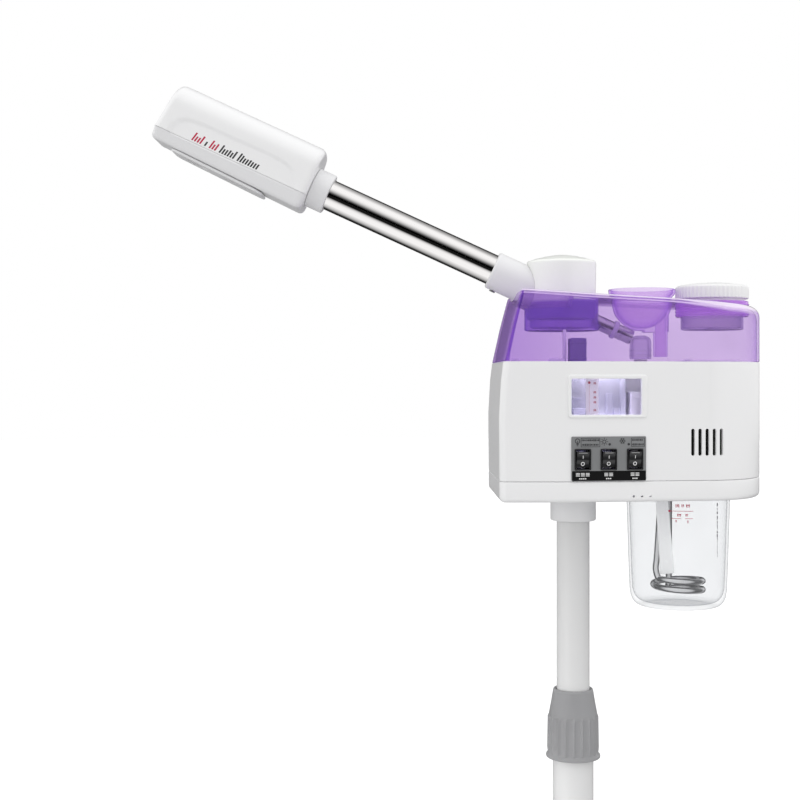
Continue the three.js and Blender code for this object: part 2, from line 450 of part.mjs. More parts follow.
add(machine, "fill_neck", turned(thread, 36, CAP_X, 0), mat(0x8a4fd8, 0.15, 0, 0.7));
const capRibs = [];
for (let i = 0; i < 13; i++) capRibs.push(new THREE.BoxGeometry(2.4, 3, 11).translate(36.4, 0, 1011.2).rotateZ((i * 2 * Math.PI) / 13).translate(CAP_X, 0, 0));
add(machine, "fill_cap", union(
  turned([[31, 998], [33.4, 998], [33.4, 1004.8], [36.9, 1004.8], [36.9, 1016.8], [35.7, 1018.4], [18, 1021.4], [0, 1021.8], [0, 1018.8], [31, 1015.5], [31, 998]], 36, CAP_X, 0),
  ...capRibs,
), mat(WHITE, 0.4));
let basket = turned([[0, 973], [31, 973], [31.8, 974], [31.8, 990.4], [33.6, 990.4], [33.6, 992], [30, 992], [30, 975], [0, 975]], 32, CAP_X, 0);
for (let i = 0; i < 6; i++) basket = minus(basket, new THREE.BoxGeometry(14, 3, 10).translate(16, 0, 974).rotateZ((i * Math.PI) / 3).translate(CAP_X, 0, 0));
add(machine, "strainer_basket", basket, mat(0xb7a9d0, 0.3, 0, 0.6));

// ---------------------------------------------------------------- electrics
add(machine, "relay_box", box(-9.2, 7.3, -50, -30, 937.3, 963), mat(0xa8a4b4, 0.5));
add(machine, "circuit_board", box(88, 160, -34, 42, 900, 901.6), mat(0x2f6a45, 0.6));
add(machine, "transformer", union(box(108, 138, -14, 16, 902, 930), box(104, 142, -8, 10, 902, 924)), mat(0x8a7a3a, 0.5, 0.4));
add(machine, "fan_frame", minus(union(minus(box(64, 106, 66, 80, 866, 908), cyl(19.5, -10, 90, 28).rotateX(-Math.PI / 2).translate(85, 70, 887)), box(64, 106, 66, 68, 884, 890), cyl(8, 0, 2, 16).rotateX(-Math.PI / 2).translate(85, 66, 887)), box(84, 86, 60, 61, 880, 881)), mat(DARK, 0.5));
const blades = [];
for (let i = 0; i < 5; i++) blades.push(new THREE.BoxGeometry(12, 1.6, 8).rotateX(0.6).translate(12, 0, 0).rotateZ((i * 2 * Math.PI) / 5));
add(machine, "fan_rotor", union(cyl(7.5, -4, 4, 16), ...blades).rotate([-90, 0, 0]).translate([85, 73.5, 887]), mat(DARK, 0.4));
add(machine, "power_inlet", union(
  minus(box(-55, -25, 87.3, 89.5, 826.5, 849.5), box(-49.5, -30.5, 80, 95, 831, 845)),
  minus(box(-51.9, -28.1, 68, 88, 829.1, 846.9), box(-49.5, -30.5, 72, 95, 831, 845)),
  box(-45.5, -44, 70, 84, 836, 840), box(-36, -34.5, 70, 84, 836, 840), box(-40.8, -39.2, 70, 84, 838, 842),
), mat(DARK, 0.5));

export default machine;
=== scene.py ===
import bpy, bmesh, math, random
from mathutils import Vector, Matrix


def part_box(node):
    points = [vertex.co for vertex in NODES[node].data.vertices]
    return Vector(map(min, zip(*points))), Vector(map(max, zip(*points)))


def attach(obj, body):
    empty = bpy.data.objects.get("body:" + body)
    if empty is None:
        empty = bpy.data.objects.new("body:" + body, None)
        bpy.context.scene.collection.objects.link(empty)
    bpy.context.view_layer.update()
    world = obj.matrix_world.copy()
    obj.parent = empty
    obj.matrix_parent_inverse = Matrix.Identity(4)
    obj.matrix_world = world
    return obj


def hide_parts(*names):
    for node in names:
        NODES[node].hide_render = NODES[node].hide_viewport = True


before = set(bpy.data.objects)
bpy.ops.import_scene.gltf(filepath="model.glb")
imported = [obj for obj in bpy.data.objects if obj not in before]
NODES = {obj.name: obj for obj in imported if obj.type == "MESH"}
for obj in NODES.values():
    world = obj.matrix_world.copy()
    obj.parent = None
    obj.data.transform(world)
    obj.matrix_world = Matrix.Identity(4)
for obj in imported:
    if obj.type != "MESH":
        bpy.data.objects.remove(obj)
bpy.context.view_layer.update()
bpy.context.scene.unit_settings.system = "METRIC"


# ------------------------------------------------------------------ where things are, in mm
def span(node):
    lo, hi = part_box(node)
    return [v * 1000 for v in lo], [v * 1000 for v in hi]


def centre_x(node):
    lo, hi = span(node)
    return (lo[0] + hi[0]) / 2


lo, hi = span("upper_pole")
PX = (lo[0] + hi[0]) / 2  # pole axis; every length below is counted from it
HUB_X = centre_x("steam_well") - PX
JAR_X = centre_x("glass_jar") - PX
BOWL_X = centre_x("mist_bowl") - PX
CAP_X = 144.3
TRAY_LO = span("lower_tray")[0][2]
SEAM_LO = span("main_casing")[0][2]  # casing's lower edge
SEAM_HI = span("main_casing")[1][2]  # casing's upper edge
COVER_LO = span("top_cover")[0][2]
JAR_LO, JAR_HI = span("glass_jar")[0][2], span("glass_jar")[1][2]
KNOB_TOP = span("hub_knob")[1][2]
CAP_TOP = span("fill_cap")[1][2]
HUBTOP = span("star_base")[1][2]
ARM_Z, ARM_TILT = 1002.5, math.radians(24.7)

LEFT_X, END_X, END_Y, END_START, BACK_Y = -82.5, 194.5, 10.5, 125.0, 87.0
FACET_X0, FACET_Y0, FACET_SLOPE = -20.0, -86.3, 0.14
WALL = 2.5
LEAN = [(800, -82.5), (885, -83), (903, -82), (921, -81), (939.5, -78.7), (956, -75), (974, -71), (992, -66.5), (1012, -61)]


def left_at(z):
    for (z0, x0), (z1, x1) in zip(LEAN, LEAN[1:]):
        if z <= z1:
            return x0 + (x1 - x0) * (z - z0) / (z1 - z0)
    return -61.0


def front_at(x):
    return FACET_Y0 if x < FACET_X0 else FACET_Y0 + FACET_SLOPE * (x - FACET_X0)


def roof_at(x):
    return 1010.0 - 0.0495 * (x + 64.0)


# ------------------------------------------------------------------ mesh helpers (mm in, metres out)
def M(v):
    return ((v[0] + PX) / 1000.0, v[1] / 1000.0, v[2] / 1000.0)


def finish_mesh(ob, angle=35):
    me = ob.data
    bm = bmesh.new()
    bm.from_mesh(me)
    bmesh.ops.remove_doubles(bm, verts=bm.verts, dist=1e-6)
    bmesh.ops.dissolve_degenerate(bm, edges=bm.edges, dist=1e-7)
    bmesh.ops.recalc_face_normals(bm, faces=bm.faces)
    bm.to_mesh(me)
    bm.free()
    me.shade_smooth()
    if angle is not None:
        me.set_sharp_from_angle(angle=math.radians(angle))
    return ob


def make(name, verts, faces, angle=35, world=True):
    me = bpy.data.meshes.new(name)
    me.from_pydata([M(v) for v in verts] if world else verts, [], faces)
    me.update()
    ob = bpy.data.objects.new(name, me)
    bpy.context.scene.collection.objects.link(ob)
    return finish_mesh(ob, angle)


def loft(name, rings, cap0=True, cap1=True, loop=False, angle=35, xf=None):
    n = len(rings[0])
    verts, faces = [], []
    for r in rings:
        for p in r:
            verts.append(tuple(xf @ Vector(p)) if xf else tuple(p))
    m = len(rings)
    for k in range(m if loop else m - 1):
        a0, b0 = k * n, ((k + 1) % m) * n
        for i in range(n):
            j = (i + 1) % n
            faces.append((a0 + i, a0 + j, b0 + j, b0 + i))
    if not loop:
        if cap0:
            faces.append(tuple(reversed(range(n))))
        if cap1:
            faces.append(tuple((m - 1) * n + i for i in range(n)))
    return make(name, verts, faces, angle)


def lathe(name, prof, x=0.0, y=0.0, n=96, angle=35, xf=None, wob=None):
    """prof is (r, z) from the axis round to the axis, or a loop that closes on itself."""
    closed = prof[0] == prof[-1]
    pts = prof[:-1] if closed else prof
    verts, faces, idx = [], [], []
    for r, z in pts:
        if r < 1e-6:
            idx.append([len(verts)])
            verts.append((x, y, z))
        else:
            row = []
            for i in range(n):
                a = 2 * math.pi * i / n
                rr = r + (wob(a, r, z) if wob else 0.0)
                row.append(len(verts))
                verts.append((x + rr * math.cos(a), y + rr * math.sin(a), z))
            idx.append(row)
    m = len(pts)
    for k in range(m if closed else m - 1):
        A, B = idx[k], idx[(k + 1) % m]
        if len(A) == 1 and len(B) == 1:
            continue
        for i in range(n):
            j = (i + 1) % n
            if len(A) == 1:
                faces.append((A[0], B[j], B[i]))
            elif len(B) == 1:
                faces.append((A[i], A[j], B[0]))
            else:
                faces.append((A[i], A[j], B[j], B[i]))
    if xf:
        verts = [tuple(xf @ Vector(v)) for v in verts]
    return make(name, verts, faces, angle)


def arc(cx, cy, r, a0, a1, n):
    """points on an arc of a profile, degrees"""
    return [(cx + r * math.cos(math.radians(a0 + (a1 - a0) * i / n)), cy + r * math.sin(math.radians(a0 + (a1 - a0) * i / n))) for i in range(n + 1)]


def rounded_rect(x0, x1, y0, y1, r, n=8):
    p = []
    for cx, cy, a in ((x1 - r, y0 + r, -90), (x1 - r, y1 - r, 0), (x0 + r, y1 - r, 90), (x0 + r, y0 + r, 180)):
        p += arc(cx, cy, r, a, a + 90, n)
    return p


def prism(name, outline, h0, h1, xf, bevel=0.0, segs=3, angle=35, taper=0.0):
    """outline in local x, y, from height h0 to h1 along local z, with rounded rims; xf takes local to machine mm."""
    cx = sum(p[0] for p in outline) / len(outline)
    cy = sum(p[1] for p in outline) / len(outline)

    def ring(inset, h):
        if inset == 0:
            return [(p[0], p[1], h) for p in outline]
        out = []
        n = len(outline)
        for i, p in enumerate(outline):
            a, b = outline[i - 1], outline[(i + 1) % n]
            dx, dy = b[0] - a[0], b[1] - a[1]
            l = math.hypot(dx, dy) or 1.0
            out.append((p[0] - dy / l * inset, p[1] + dx / l * inset, h))
        return out

    rings = []
    if bevel > 0:
        for i in range(segs + 1):
            t = math.pi / 2 * i / segs
            rings.append(ring(bevel * (1 - math.sin(t)), h0 + bevel * (1 - math.cos(t))))
        for i in range(segs + 1):
            t = math.pi / 2 * i / segs
            rings.append(ring(taper + bevel * (1 - math.cos(t)), h1 - bevel * (1 - math.sin(t))))
    else:
        rings = [ring(0, h0), ring(taper, h1)]
    return loft(name, rings, angle=angle, xf=xf)


def box(name, x0, x1, y0, y1, z0, z1, xf=None, bevel=0.0, segs=2):
    r = max(bevel, 0.0)
    if r > 0:
        return prism(name, rounded_rect(x0, x1, y0, y1, r, 4), z0, z1, xf or Matrix.Identity(4), bevel=r, segs=segs)
    return prism(name, [(x0, y0), (x1, y0), (x1, y1), (x0, y1)], z0, z1, xf or Matrix.Identity(4))


def sweep(name, pts, r, n=16, angle=60, closed=False, res=1):
    """a round rod along points, closed at its ends; parallel transported"""
    P = [Vector(p) for p in pts]
    m = len(P)
    T = []
    for i in range(m):
        a, b = P[max(i - 1, 0)], P[min(i + 1, m - 1)]
        if closed:
            a, b = P[i - 1], P[(i + 1) % m]
        T.append((b - a).normalized())
    u = T[0].orthogonal().normalized()
    rings = []
    for i in range(m):
        if i:
            q = T[i - 1].rotation_difference(T[i])
            u = q @ u
        v = T[i].cross(u).normalized()
        rings.append([tuple(P[i] + (u * math.cos(2 * math.pi * k / n) + v * math.sin(2 * math.pi * k / n)) * (r if not callable(r) else r(i / (m - 1)))) for k in range(n)])
    return loft(name, rings, loop=closed, angle=angle)


def spline(pts, per=8):
    """Catmull-Rom points through pts"""
    P = [Vector(p) for p in pts]
    out = []
    for i in range(len(P) - 1):
        p0, p1, p2, p3 = P[max(i - 1, 0)], P[i], P[i + 1], P[min(i + 2, len(P) - 1)]
        for k in range(per):
            t = k / per
            out.append(tuple(0.5 * ((2 * p1) + (-p0 + p2) * t + (2 * p0 - 5 * p1 + 4 * p2 - p3) * t * t + (-p0 + 3 * p1 - 3 * p2 + p3) * t ** 3)))
    out.append(tuple(P[-1]))
    return out


def apply_mods(ob):
    dg = bpy.context.evaluated_depsgraph_get()
    dg.update()
    me = bpy.data.meshes.new_from_object(ob.evaluated_get(dg))
    old = ob.data
    ob.modifiers.clear()
    ob.data = me
    me.name = ob.name
    bpy.data.meshes.remove(old)
    return ob


def boolean(ob, cutters, op="DIFFERENCE", angle=35):
    for c in cutters:
        m = ob.modifiers.new("b", "BOOLEAN")
        m.object, m.operation, m.solver = c, op, "EXACT"
    apply_mods(ob)
    for c in cutters:
        me = c.data
        bpy.data.objects.remove(c)
        bpy.data.meshes.remove(me)
    return finish_mesh(ob, angle)


def bevel(ob, width, segs=2, angle=30, shade=35):
    m = ob.modifiers.new("bv", "BEVEL")
    m.width, m.segments, m.limit_method, m.angle_limit = width / 1000.0, segs, "ANGLE", math.radians(angle)
    m.harden_normals = False
    m.use_clamp_overlap = True
    apply_mods(ob)
    ob.data.shade_smooth()
    ob.data.set_sharp_from_angle(angle=math.radians(shade))
    return ob


def weighted(ob):
    """broad faces keep their own direction, so walls with openings shade evenly"""
    m = ob.modifiers.new("wn", "WEIGHTED_NORMAL")
    m.mode, m.weight, m.keep_sharp = "FACE_AREA", 60, True
    apply_mods(ob)
    return ob


def join(name, obs, angle=35):
    bm = bmesh.new()
    for o in obs:
        bm.from_mesh(o.data)
    me = bpy.data.meshes.new(name)
    bm.to_mesh(me)
    bm.free()
    for o in obs:
        old = o.data
        bpy.data.objects.remove(o)
        bpy.data.meshes.remove(old)
    ob = bpy.data.objects.new(name, me)
    bpy.context.scene.collection.objects.link(ob)
    me.shade_smooth()
    me.set_sharp_from_angle(angle=math.radians(angle))
    return ob


def give(ob, material, body, replaces=(), also=()):
    ob.data.materials.clear()
    ob.data.materials.append(material)
    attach(ob, body)
    if replaces:
        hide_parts(*replaces)
    return ob


# ------------------------------------------------------------------ materials
def new_mat(name):
    m = bpy.data.materials.new(name)
    m.use_nodes = True
    nt = m.node_tree
    nt.nodes.clear()
    out = nt.nodes.new("ShaderNodeOutputMaterial")
    return m, nt, out


def node(nt, kind, **kw):
    n = nt.nodes.new(kind)
    for k, v in kw.items():
        setattr(n, k, v)
    return n


def coords(nt, scale=1.0):
    tc = node(nt, "ShaderNodeTexCoord")
    mp = node(nt, "ShaderNodeMapping")
    mp.inputs["Scale"].default_value = (scale, scale, scale)
    nt.links.new(tc.outputs["Object"], mp.inputs["Vector"])
    return mp.outputs["Vector"]


def noise(nt, vec, scale, detail=3.0, rough=0.5):
    n = node(nt, "ShaderNodeTexNoise")
    n.inputs["Scale"].default_value = scale
    n.inputs["Detail"].default_value = detail
    n.inputs["Roughness"].default_value = rough
    nt.links.new(vec, n.inputs["Vector"])
    return n.outputs["Fac"]


def ramp(nt, fac, stops):
    r = node(nt, "ShaderNodeValToRGB")
    el = r.color_ramp.elements
    while len(el) < len(stops):
        el.new(0.5)
    for e, (p, c) in zip(el, stops):
        e.position = p
        e.color = (*c, 1.0) if len(c) == 3 else c
    nt.links.new(fac, r.inputs["Fac"])
    return r.outputs["Color"]


def map_range(nt, fac, a, b, lo=0.0, hi=1.0):
    n = node(nt, "ShaderNodeMapRange")
    n.inputs["From Min"].default_value, n.inputs["From Max"].default_value = lo, hi
    n.inputs["To Min"].default_value, n.inputs["To Max"].default_value = a, b
    nt.links.new(fac, n.inputs["Value"])
    return n.outputs["Result"]


def bump(nt, height, strength, dist):
    b = node(nt, "ShaderNodeBump")
    b.inputs["Strength"].default_value = strength
    b.inputs["Distance"].default_value = dist
    nt.links.new(height, b.inputs["Height"])
    return b.outputs["Normal"]


def mix_col(nt, a, b, fac):
    m = node(nt, "ShaderNodeMix", data_type="RGBA")
    for sock, v in ((m.inputs[6], a), (m.inputs[7], b)):
        if isinstance(v, (tuple, list)):
            sock.default_value = (*v, 1.0) if len(v) == 3 else v
        else:
            nt.links.new(v, sock)
    if isinstance(fac, float):
        m.inputs[0].default_value = fac
    else:
        nt.links.new(fac, m.inputs[0])
    return m.outputs[2]


def plastic(name, base, rough=0.35, grain=260.0, grain_h=0.00003, var=0.008, hollow_dark=0.0, coat=0.0, metallic=0.0, rough_var=0.08, spec=0.5, stretch=None, painted_glow=0.0, painted_well_tint=None):
    """moulded plastic or paint: base colour with faint mottling, darker in hollows from pointiness, fine texture in the
    bump
    """
    m, nt, out = new_mat(name)
    p = node(nt, "ShaderNodeBsdfPrincipled")
    nt.links.new(p.outputs[0], out.inputs["Surface"])
    v = coords(nt)
    if stretch:
        mp = node(nt, "ShaderNodeMapping")
        mp.inputs["Scale"].default_value = stretch
        nt.links.new(v, mp.inputs["Vector"])
        v2 = mp.outputs["Vector"]
    else:
        v2 = v
    big = noise(nt, v, 9.0, 4.0)
    dark = tuple(c * (1 - var * 1.6) for c in base)
    light = tuple(min(1.0, c * (1 + var)) for c in base)
    col = ramp(nt, big, [(0.3, dark), (0.7, light)])
    # darker in hollows: low pointiness mixes in a darker copy of the base colour
    if hollow_dark:
        geo = node(nt, "ShaderNodeNewGeometry")
        edge = map_range(nt, geo.outputs["Pointiness"], 0.0, 1.0, 0.46, 0.40)
        hollow_colour = tuple(c * (1 - hollow_dark * 3) for c in base)
        mul = node(nt, "ShaderNodeMath", operation="MULTIPLY")
        nt.links.new(edge, mul.inputs[0])
        mul.inputs[1].default_value = min(1.0, hollow_dark * 8)
        col = mix_col(nt, col, hollow_colour, mul.outputs[0])
    if painted_well_tint:  # painted tint: the foot of the part inside the coloured well is mixed towards the well's purple, standing in for the coloured light that comes through the well
        fz = node(nt, "ShaderNodeSeparateXYZ")
        nt.links.new(v, fz.inputs[0])
        col = mix_col(nt, painted_well_tint[2], col, map_range(nt, fz.outputs["Z"], 0.0, 1.0, painted_well_tint[0] / 1000.0, painted_well_tint[1] / 1000.0))
    nt.links.new(col, p.inputs["Base Color"])
    mid = noise(nt, v2, 55.0, 3.0)
    nt.links.new(map_range(nt, mid, rough - rough_var / 2, rough + rough_var / 2, 0.25, 0.75), p.inputs["Roughness"])
    fine = noise(nt, v2, grain, 2.0)
    nt.links.new(bump(nt, fine, 0.35, grain_h), p.inputs["Normal"])
    p.inputs["Metallic"].default_value = metallic
    p.inputs["Specular IOR Level"].default_value = spec
    if painted_glow:  # painted glow: emission in the base colour brightens the part, standing in for light the thin milky plastic would pass from behind
        p.inputs["Emission Color"].default_value = (*base, 1.0)
        p.inputs["Emission Strength"].default_value = painted_glow
    if coat:
        p.inputs["Coat Weight"].default_value = coat
        p.inputs["Coat Roughness"].default_value = 0.12
    return m


def clear_plastic(name, tint, body, solid=0.05, rough=0.08, edge=0.6, grain=120.0, flow=0.00004, deep=None, power=3.0, ior=1.45, var=0.03, grad=None, painted_edge_light=False):
    """see-through moulding: coloured light passes and deepens at grazing angles, gloss on top, a milky share of body colour"""
    m, nt, out = new_mat(name)
    v = coords(nt)
    lw = node(nt, "ShaderNodeLayerWeight")
    lw.inputs["Blend"].default_value = 0.5
    pw = node(nt, "ShaderNodeMath", operation="POWER")
    nt.links.new(lw.outputs["Facing"], pw.inputs[0])
    pw.inputs[1].default_value = power
    tr = node(nt, "ShaderNodeBsdfTransparent")
    big = noise(nt, v, 14.0, 3.0)
    base = mix_col(nt, tint, tuple(c * (1 - var) for c in tint), map_range(nt, big, 0.0, 1.0, 0.4, 0.7))
    if grad:  # the see-through colour deepens towards the low-x end
        sx = node(nt, "ShaderNodeSeparateXYZ")
        nt.links.new(v, sx.inputs[0])
        base = mix_col(nt, grad[2], base, map_range(nt, sx.outputs["X"], 0.0, 1.0, (grad[0] + PX) / 1000.0, (grad[1] + PX) / 1000.0))
    tcol = mix_col(nt, base, deep or tuple(c ** 3 for c in tint), pw.outputs[0])
    nt.links.new(tcol, tr.inputs["Color"])
    p = node(nt, "ShaderNodeBsdfPrincipled")
    bc = ramp(nt, big, [(0.3, tuple(c * 0.95 for c in body)), (0.7, body)])
    nt.links.new(bc, p.inputs["Base Color"])
    nt.links.new(map_range(nt, noise(nt, v, 60.0, 2.0), rough * 0.7, rough * 1.5), p.inputs["Roughness"])
    nt.links.new(bump(nt, noise(nt, v, grain, 2.0), 0.25, flow), p.inputs["Normal"])
    p5 = node(nt, "ShaderNodeMath", operation="POWER")
    nt.links.new(lw.outputs["Facing"], p5.inputs[0])
    p5.inputs[1].default_value = 5.0
    f0 = ((ior - 1) / (ior + 1)) ** 2
    fr = node(nt, "ShaderNodeMath", operation="MULTIPLY_ADD")
    nt.links.new(p5.outputs[0], fr.inputs[0])
    fr.inputs[1].default_value = 1 - f0
    fr.inputs[2].default_value = f0
    fac = node(nt, "ShaderNodeMath", operation="MULTIPLY_ADD", use_clamp=True)
    nt.links.new(fr.outputs[0], fac.inputs[0])
    fac.inputs[1].default_value = edge
    fac.inputs[2].default_value = solid
    share = fac.outputs[0]
    if painted_edge_light:  # painted highlight: where the normal tips up along the rounded top edge the base colour turns near white with a larger solid share; painted shade: at the left end, left-facing normals turn the see-through colour deep indigo in a dark line
        g = node(nt, "ShaderNodeNewGeometry")
        sn = node(nt, "ShaderNodeSeparateXYZ")
        nt.links.new(g.outputs["Normal"], sn.inputs[0])
        up = node(nt, "ShaderNodeMath", operation="MULTIPLY")
        nt.links.new(map_range(nt, sn.outputs["Z"], 0.0, 1.0, 0.30, 0.62), up.inputs[0])
        nt.links.new(map_range(nt, sn.outputs["Z"], 1.0, 0.0, 0.88, 0.97), up.inputs[1])
        nt.links.new(mix_col(nt, bc, (0.98, 0.90, 1.0), up.outputs[0]), p.inputs["Base Color"])
        ad = node(nt, "ShaderNodeMath", operation="MULTIPLY_ADD", use_clamp=True)
        nt.links.new(up.outputs[0], ad.inputs[0])
        ad.inputs[1].default_value = 0.62
        nt.links.new(fac.outputs[0], ad.inputs[2])
        share = ad.outputs[0]
        side_ = node(nt, "ShaderNodeMath", operation="MULTIPLY")
        nt.links.new(map_range(nt, sn.outputs["X"], 0.0, 1.0, -0.86, -0.74), side_.inputs[0])
        nt.links.new(map_range(nt, sn.outputs["X"], 1.0, 0.0, -0.62, -0.46), side_.inputs[1])
        vx = node(nt, "ShaderNodeSeparateXYZ")
        nt.links.new(v, vx.inputs[0])
        left = node(nt, "ShaderNodeMath", operation="MULTIPLY")
        nt.links.new(side_.outputs[0], left.inputs[0])
        nt.links.new(map_range(nt, vx.outputs["X"], 1.0, 0.0, (PX - 60) / 1000.0, (PX - 40) / 1000.0), left.inputs[1])
        nt.links.new(mix_col(nt, tcol, (0.36, 0.16, 0.68), left.outputs[0]), tr.inputs["Color"])
    mx = node(nt, "ShaderNodeMixShader")
    nt.links.new(share, mx.inputs[0])
    nt.links.new(tr.outputs[0], mx.inputs[1])
    nt.links.new(p.outputs[0], mx.inputs[2])
    # painted light: behind seven see-through walls the surface glows in a pale tint, standing in for the bright
    # surroundings seen through them
    path = node(nt, "ShaderNodeLightPath")
    far = node(nt, "ShaderNodeMath", operation="GREATER_THAN")
    nt.links.new(path.outputs["Transparent Depth"], far.inputs[0])
    far.inputs[1].default_value = 6.5
    painted_backdrop_glow = node(nt, "ShaderNodeEmission")
    painted_backdrop_glow.inputs["Color"].default_value = (*(c ** 1.6 for c in tint), 1.0)
    painted_backdrop_glow.inputs["Strength"].default_value = 0.92
    last = node(nt, "ShaderNodeMixShader")
    nt.links.new(far.outputs[0], last.inputs[0])
    nt.links.new(mx.outputs[0], last.inputs[1])
    nt.links.new(painted_backdrop_glow.outputs[0], last.inputs[2])
    nt.links.new(last.outputs[0], out.inputs["Surface"])
    return m


def metal(name, base, rough=0.1, brush=0.0, axis=(1, 1, 1), rough_var=0.05, tarnish=0.06, bump_h=0.00001, scratch=400.0, painted_reflection_bands=None, metallic=1.0):
    m, nt, out = new_mat(name)
    p = node(nt, "ShaderNodeBsdfPrincipled")
    nt.links.new(p.outputs[0], out.inputs["Surface"])
    p.inputs["Metallic"].default_value = metallic
    v = coords(nt)
    mp = node(nt, "ShaderNodeMapping")
    mp.inputs["Scale"].default_value = axis
    nt.links.new(v, mp.inputs["Vector"])
    streak = noise(nt, mp.outputs["Vector"], scratch, 3.0)
    big = noise(nt, v, 12.0, 3.0)
    col = ramp(nt, big, [(0.3, tuple(c * (1 - tarnish) for c in base)), (0.7, base)])
    if painted_reflection_bands:  # painted reflection: bright and dark bands by facing angle go into the base colour, as a thin polished tube would mirror a room
        lw = node(nt, "ShaderNodeLayerWeight")
        lw.inputs["Blend"].default_value = 0.5
        col = mix_col(nt, col, ramp(nt, lw.outputs["Facing"], painted_reflection_bands), 0.85)
    nt.links.new(col, p.inputs["Base Color"])
    nt.links.new(map_range(nt, streak, rough, rough + rough_var, 0.3, 0.7), p.inputs["Roughness"])
    nt.links.new(bump(nt, streak, 0.3 + brush, bump_h), p.inputs["Normal"])
    return m


WHITE = plastic("white_gloss_plastic", (0.865, 0.865, 0.87), 0.30, grain=380, grain_h=0.00001, coat=0.12, var=0.003, rough_var=0.02)
# painted light: a brighter, green-tilted copy of the white that cancels the purple light the cover throws on the knob,
# with its foot painted in the well's purple
HUB_WHITE = plastic("white_hub_plastic_painted_tint", (0.905, 0.922, 0.887), 0.32, grain=380, grain_h=0.00002, coat=0.1, painted_well_tint=(1000.5, 1003.5, (0.30, 0.13, 0.62)), rough_var=0.02)
WHITE_SATIN = plastic("white_satin_plastic", (0.86, 0.86, 0.863), 0.42, grain=520, grain_h=0.00004, rough_var=0.02)
# painted shade: a darker copy of the white plastic for the arm and pole sockets, the head's underside, collar and
# nozzle plate
SHADE_WHITE = plastic("white_plastic_shaded_copy", (0.79, 0.79, 0.80), 0.38, grain=420, grain_h=0.00003, rough_var=0.02)
STAND = plastic("powder_coat_white", (0.70, 0.70, 0.70), 0.38, grain=700, grain_h=0.00005, spec=0.5, coat=0.15, rough_var=0.02)
NUT = plastic("grey_nylon", (0.30, 0.30, 0.308), 0.45, grain=600, grain_h=0.00006, var=0.05, hollow_dark=0.12)
CASTOR = plastic("castor_nylon", (0.022, 0.022, 0.024), 0.42, grain=500, grain_h=0.00005, var=0.12, hollow_dark=0.05)
TREAD = plastic("castor_tread", (0.10, 0.10, 0.104), 0.6, grain=300, grain_h=0.00012, var=0.14, hollow_dark=0.1, rough_var=0.2)
PANEL = plastic("panel_grey", (0.215, 0.22, 0.225), 0.42, grain=800, grain_h=0.00004, var=0.04)
PANEL_BLACK = plastic("black_print_and_vent_shade", (0.006, 0.006, 0.0065), 0.6, grain=800, grain_h=0.00003, var=0.1, spec=0.12)
SWITCH = plastic("switch_black", (0.010, 0.010, 0.0115), 0.28, grain=500, grain_h=0.00003, var=0.1)
INK = plastic("white_print", (0.85, 0.85, 0.85), 0.55, grain=900, grain_h=0.00001, var=0.03)
RED_INK = plastic("red_print", (0.50, 0.012, 0.06), 0.5, grain=900, grain_h=0.00001, var=0.08)
BLACK_INK = plastic("black_print", (0.03, 0.03, 0.033), 0.5, grain=900, grain_h=0.00001, var=0.08)
GREY_INK = plastic("grey_print", (0.10, 0.10, 0.11), 0.5, grain=900, grain_h=0.00001, var=0.15)
NYLON = plastic("natural_nylon", (0.72, 0.72, 0.71), 0.48, grain=500, grain_h=0.00005, var=0.03)
# painted glow on the level strip, which sits in shade inside the jar
STRIP = plastic("level_strip_plastic", (0.93, 0.93, 0.93), 0.4, grain=400, grain_h=0.00003, var=0.02, painted_glow=0.22)
WHEEL = plastic("wheel_nylon", (0.035, 0.035, 0.037), 0.5, grain=500, grain_h=0.00006, var=0.12, hollow_dark=0.08)
INNER = plastic("inner_pale_plastic", (0.80, 0.76, 0.87), 0.45, grain=300, grain_h=0.00004, var=0.03)
RUBBER = plastic("silicone", (0.70, 0.69, 0.70), 0.55, grain=300, grain_h=0.00006)
RELAY = plastic("relay_grey", (0.16, 0.10, 0.36), 0.5, grain=500, grain_h=0.00004)
BOARD = plastic("board_green", (0.03, 0.13, 0.06), 0.4, grain=300, grain_h=0.00004, var=0.12)
WINDING = metal("transformer_copper", (0.55, 0.32, 0.16), 0.3, 0.3, (1, 1, 40), 0.15, 0.2, 0.00008, 60)
BRASS = metal("brass_disc", (0.70, 0.56, 0.28), 0.22, 0.2, (1, 1, 1), 0.1, 0.2)
CHROME = metal("polished_tube", (0.76, 0.745, 0.74), 0.035, 0.0, (1, 60, 60), 0.03, 0.03, 0.000003, 30)
PIPE_MAT = metal("steam_pipe_steel", (0.56, 0.53, 0.60), 0.16, 0.1, (1, 1, 1), 0.1, 0.12, 0.00001, 220)
PIPE_RING = plastic("pipe_ring_plastic", (0.55, 0.47, 0.68), 0.22, grain=420, grain_h=0.00003)
DECK = plastic("deck_plastic", (0.84, 0.81, 0.90), 0.42, grain=300, grain_h=0.00004, var=0.02)
SCALE = plastic("scale_card", (0.90, 0.84, 0.88), 0.5, grain=600, grain_h=0.00002, var=0.02)
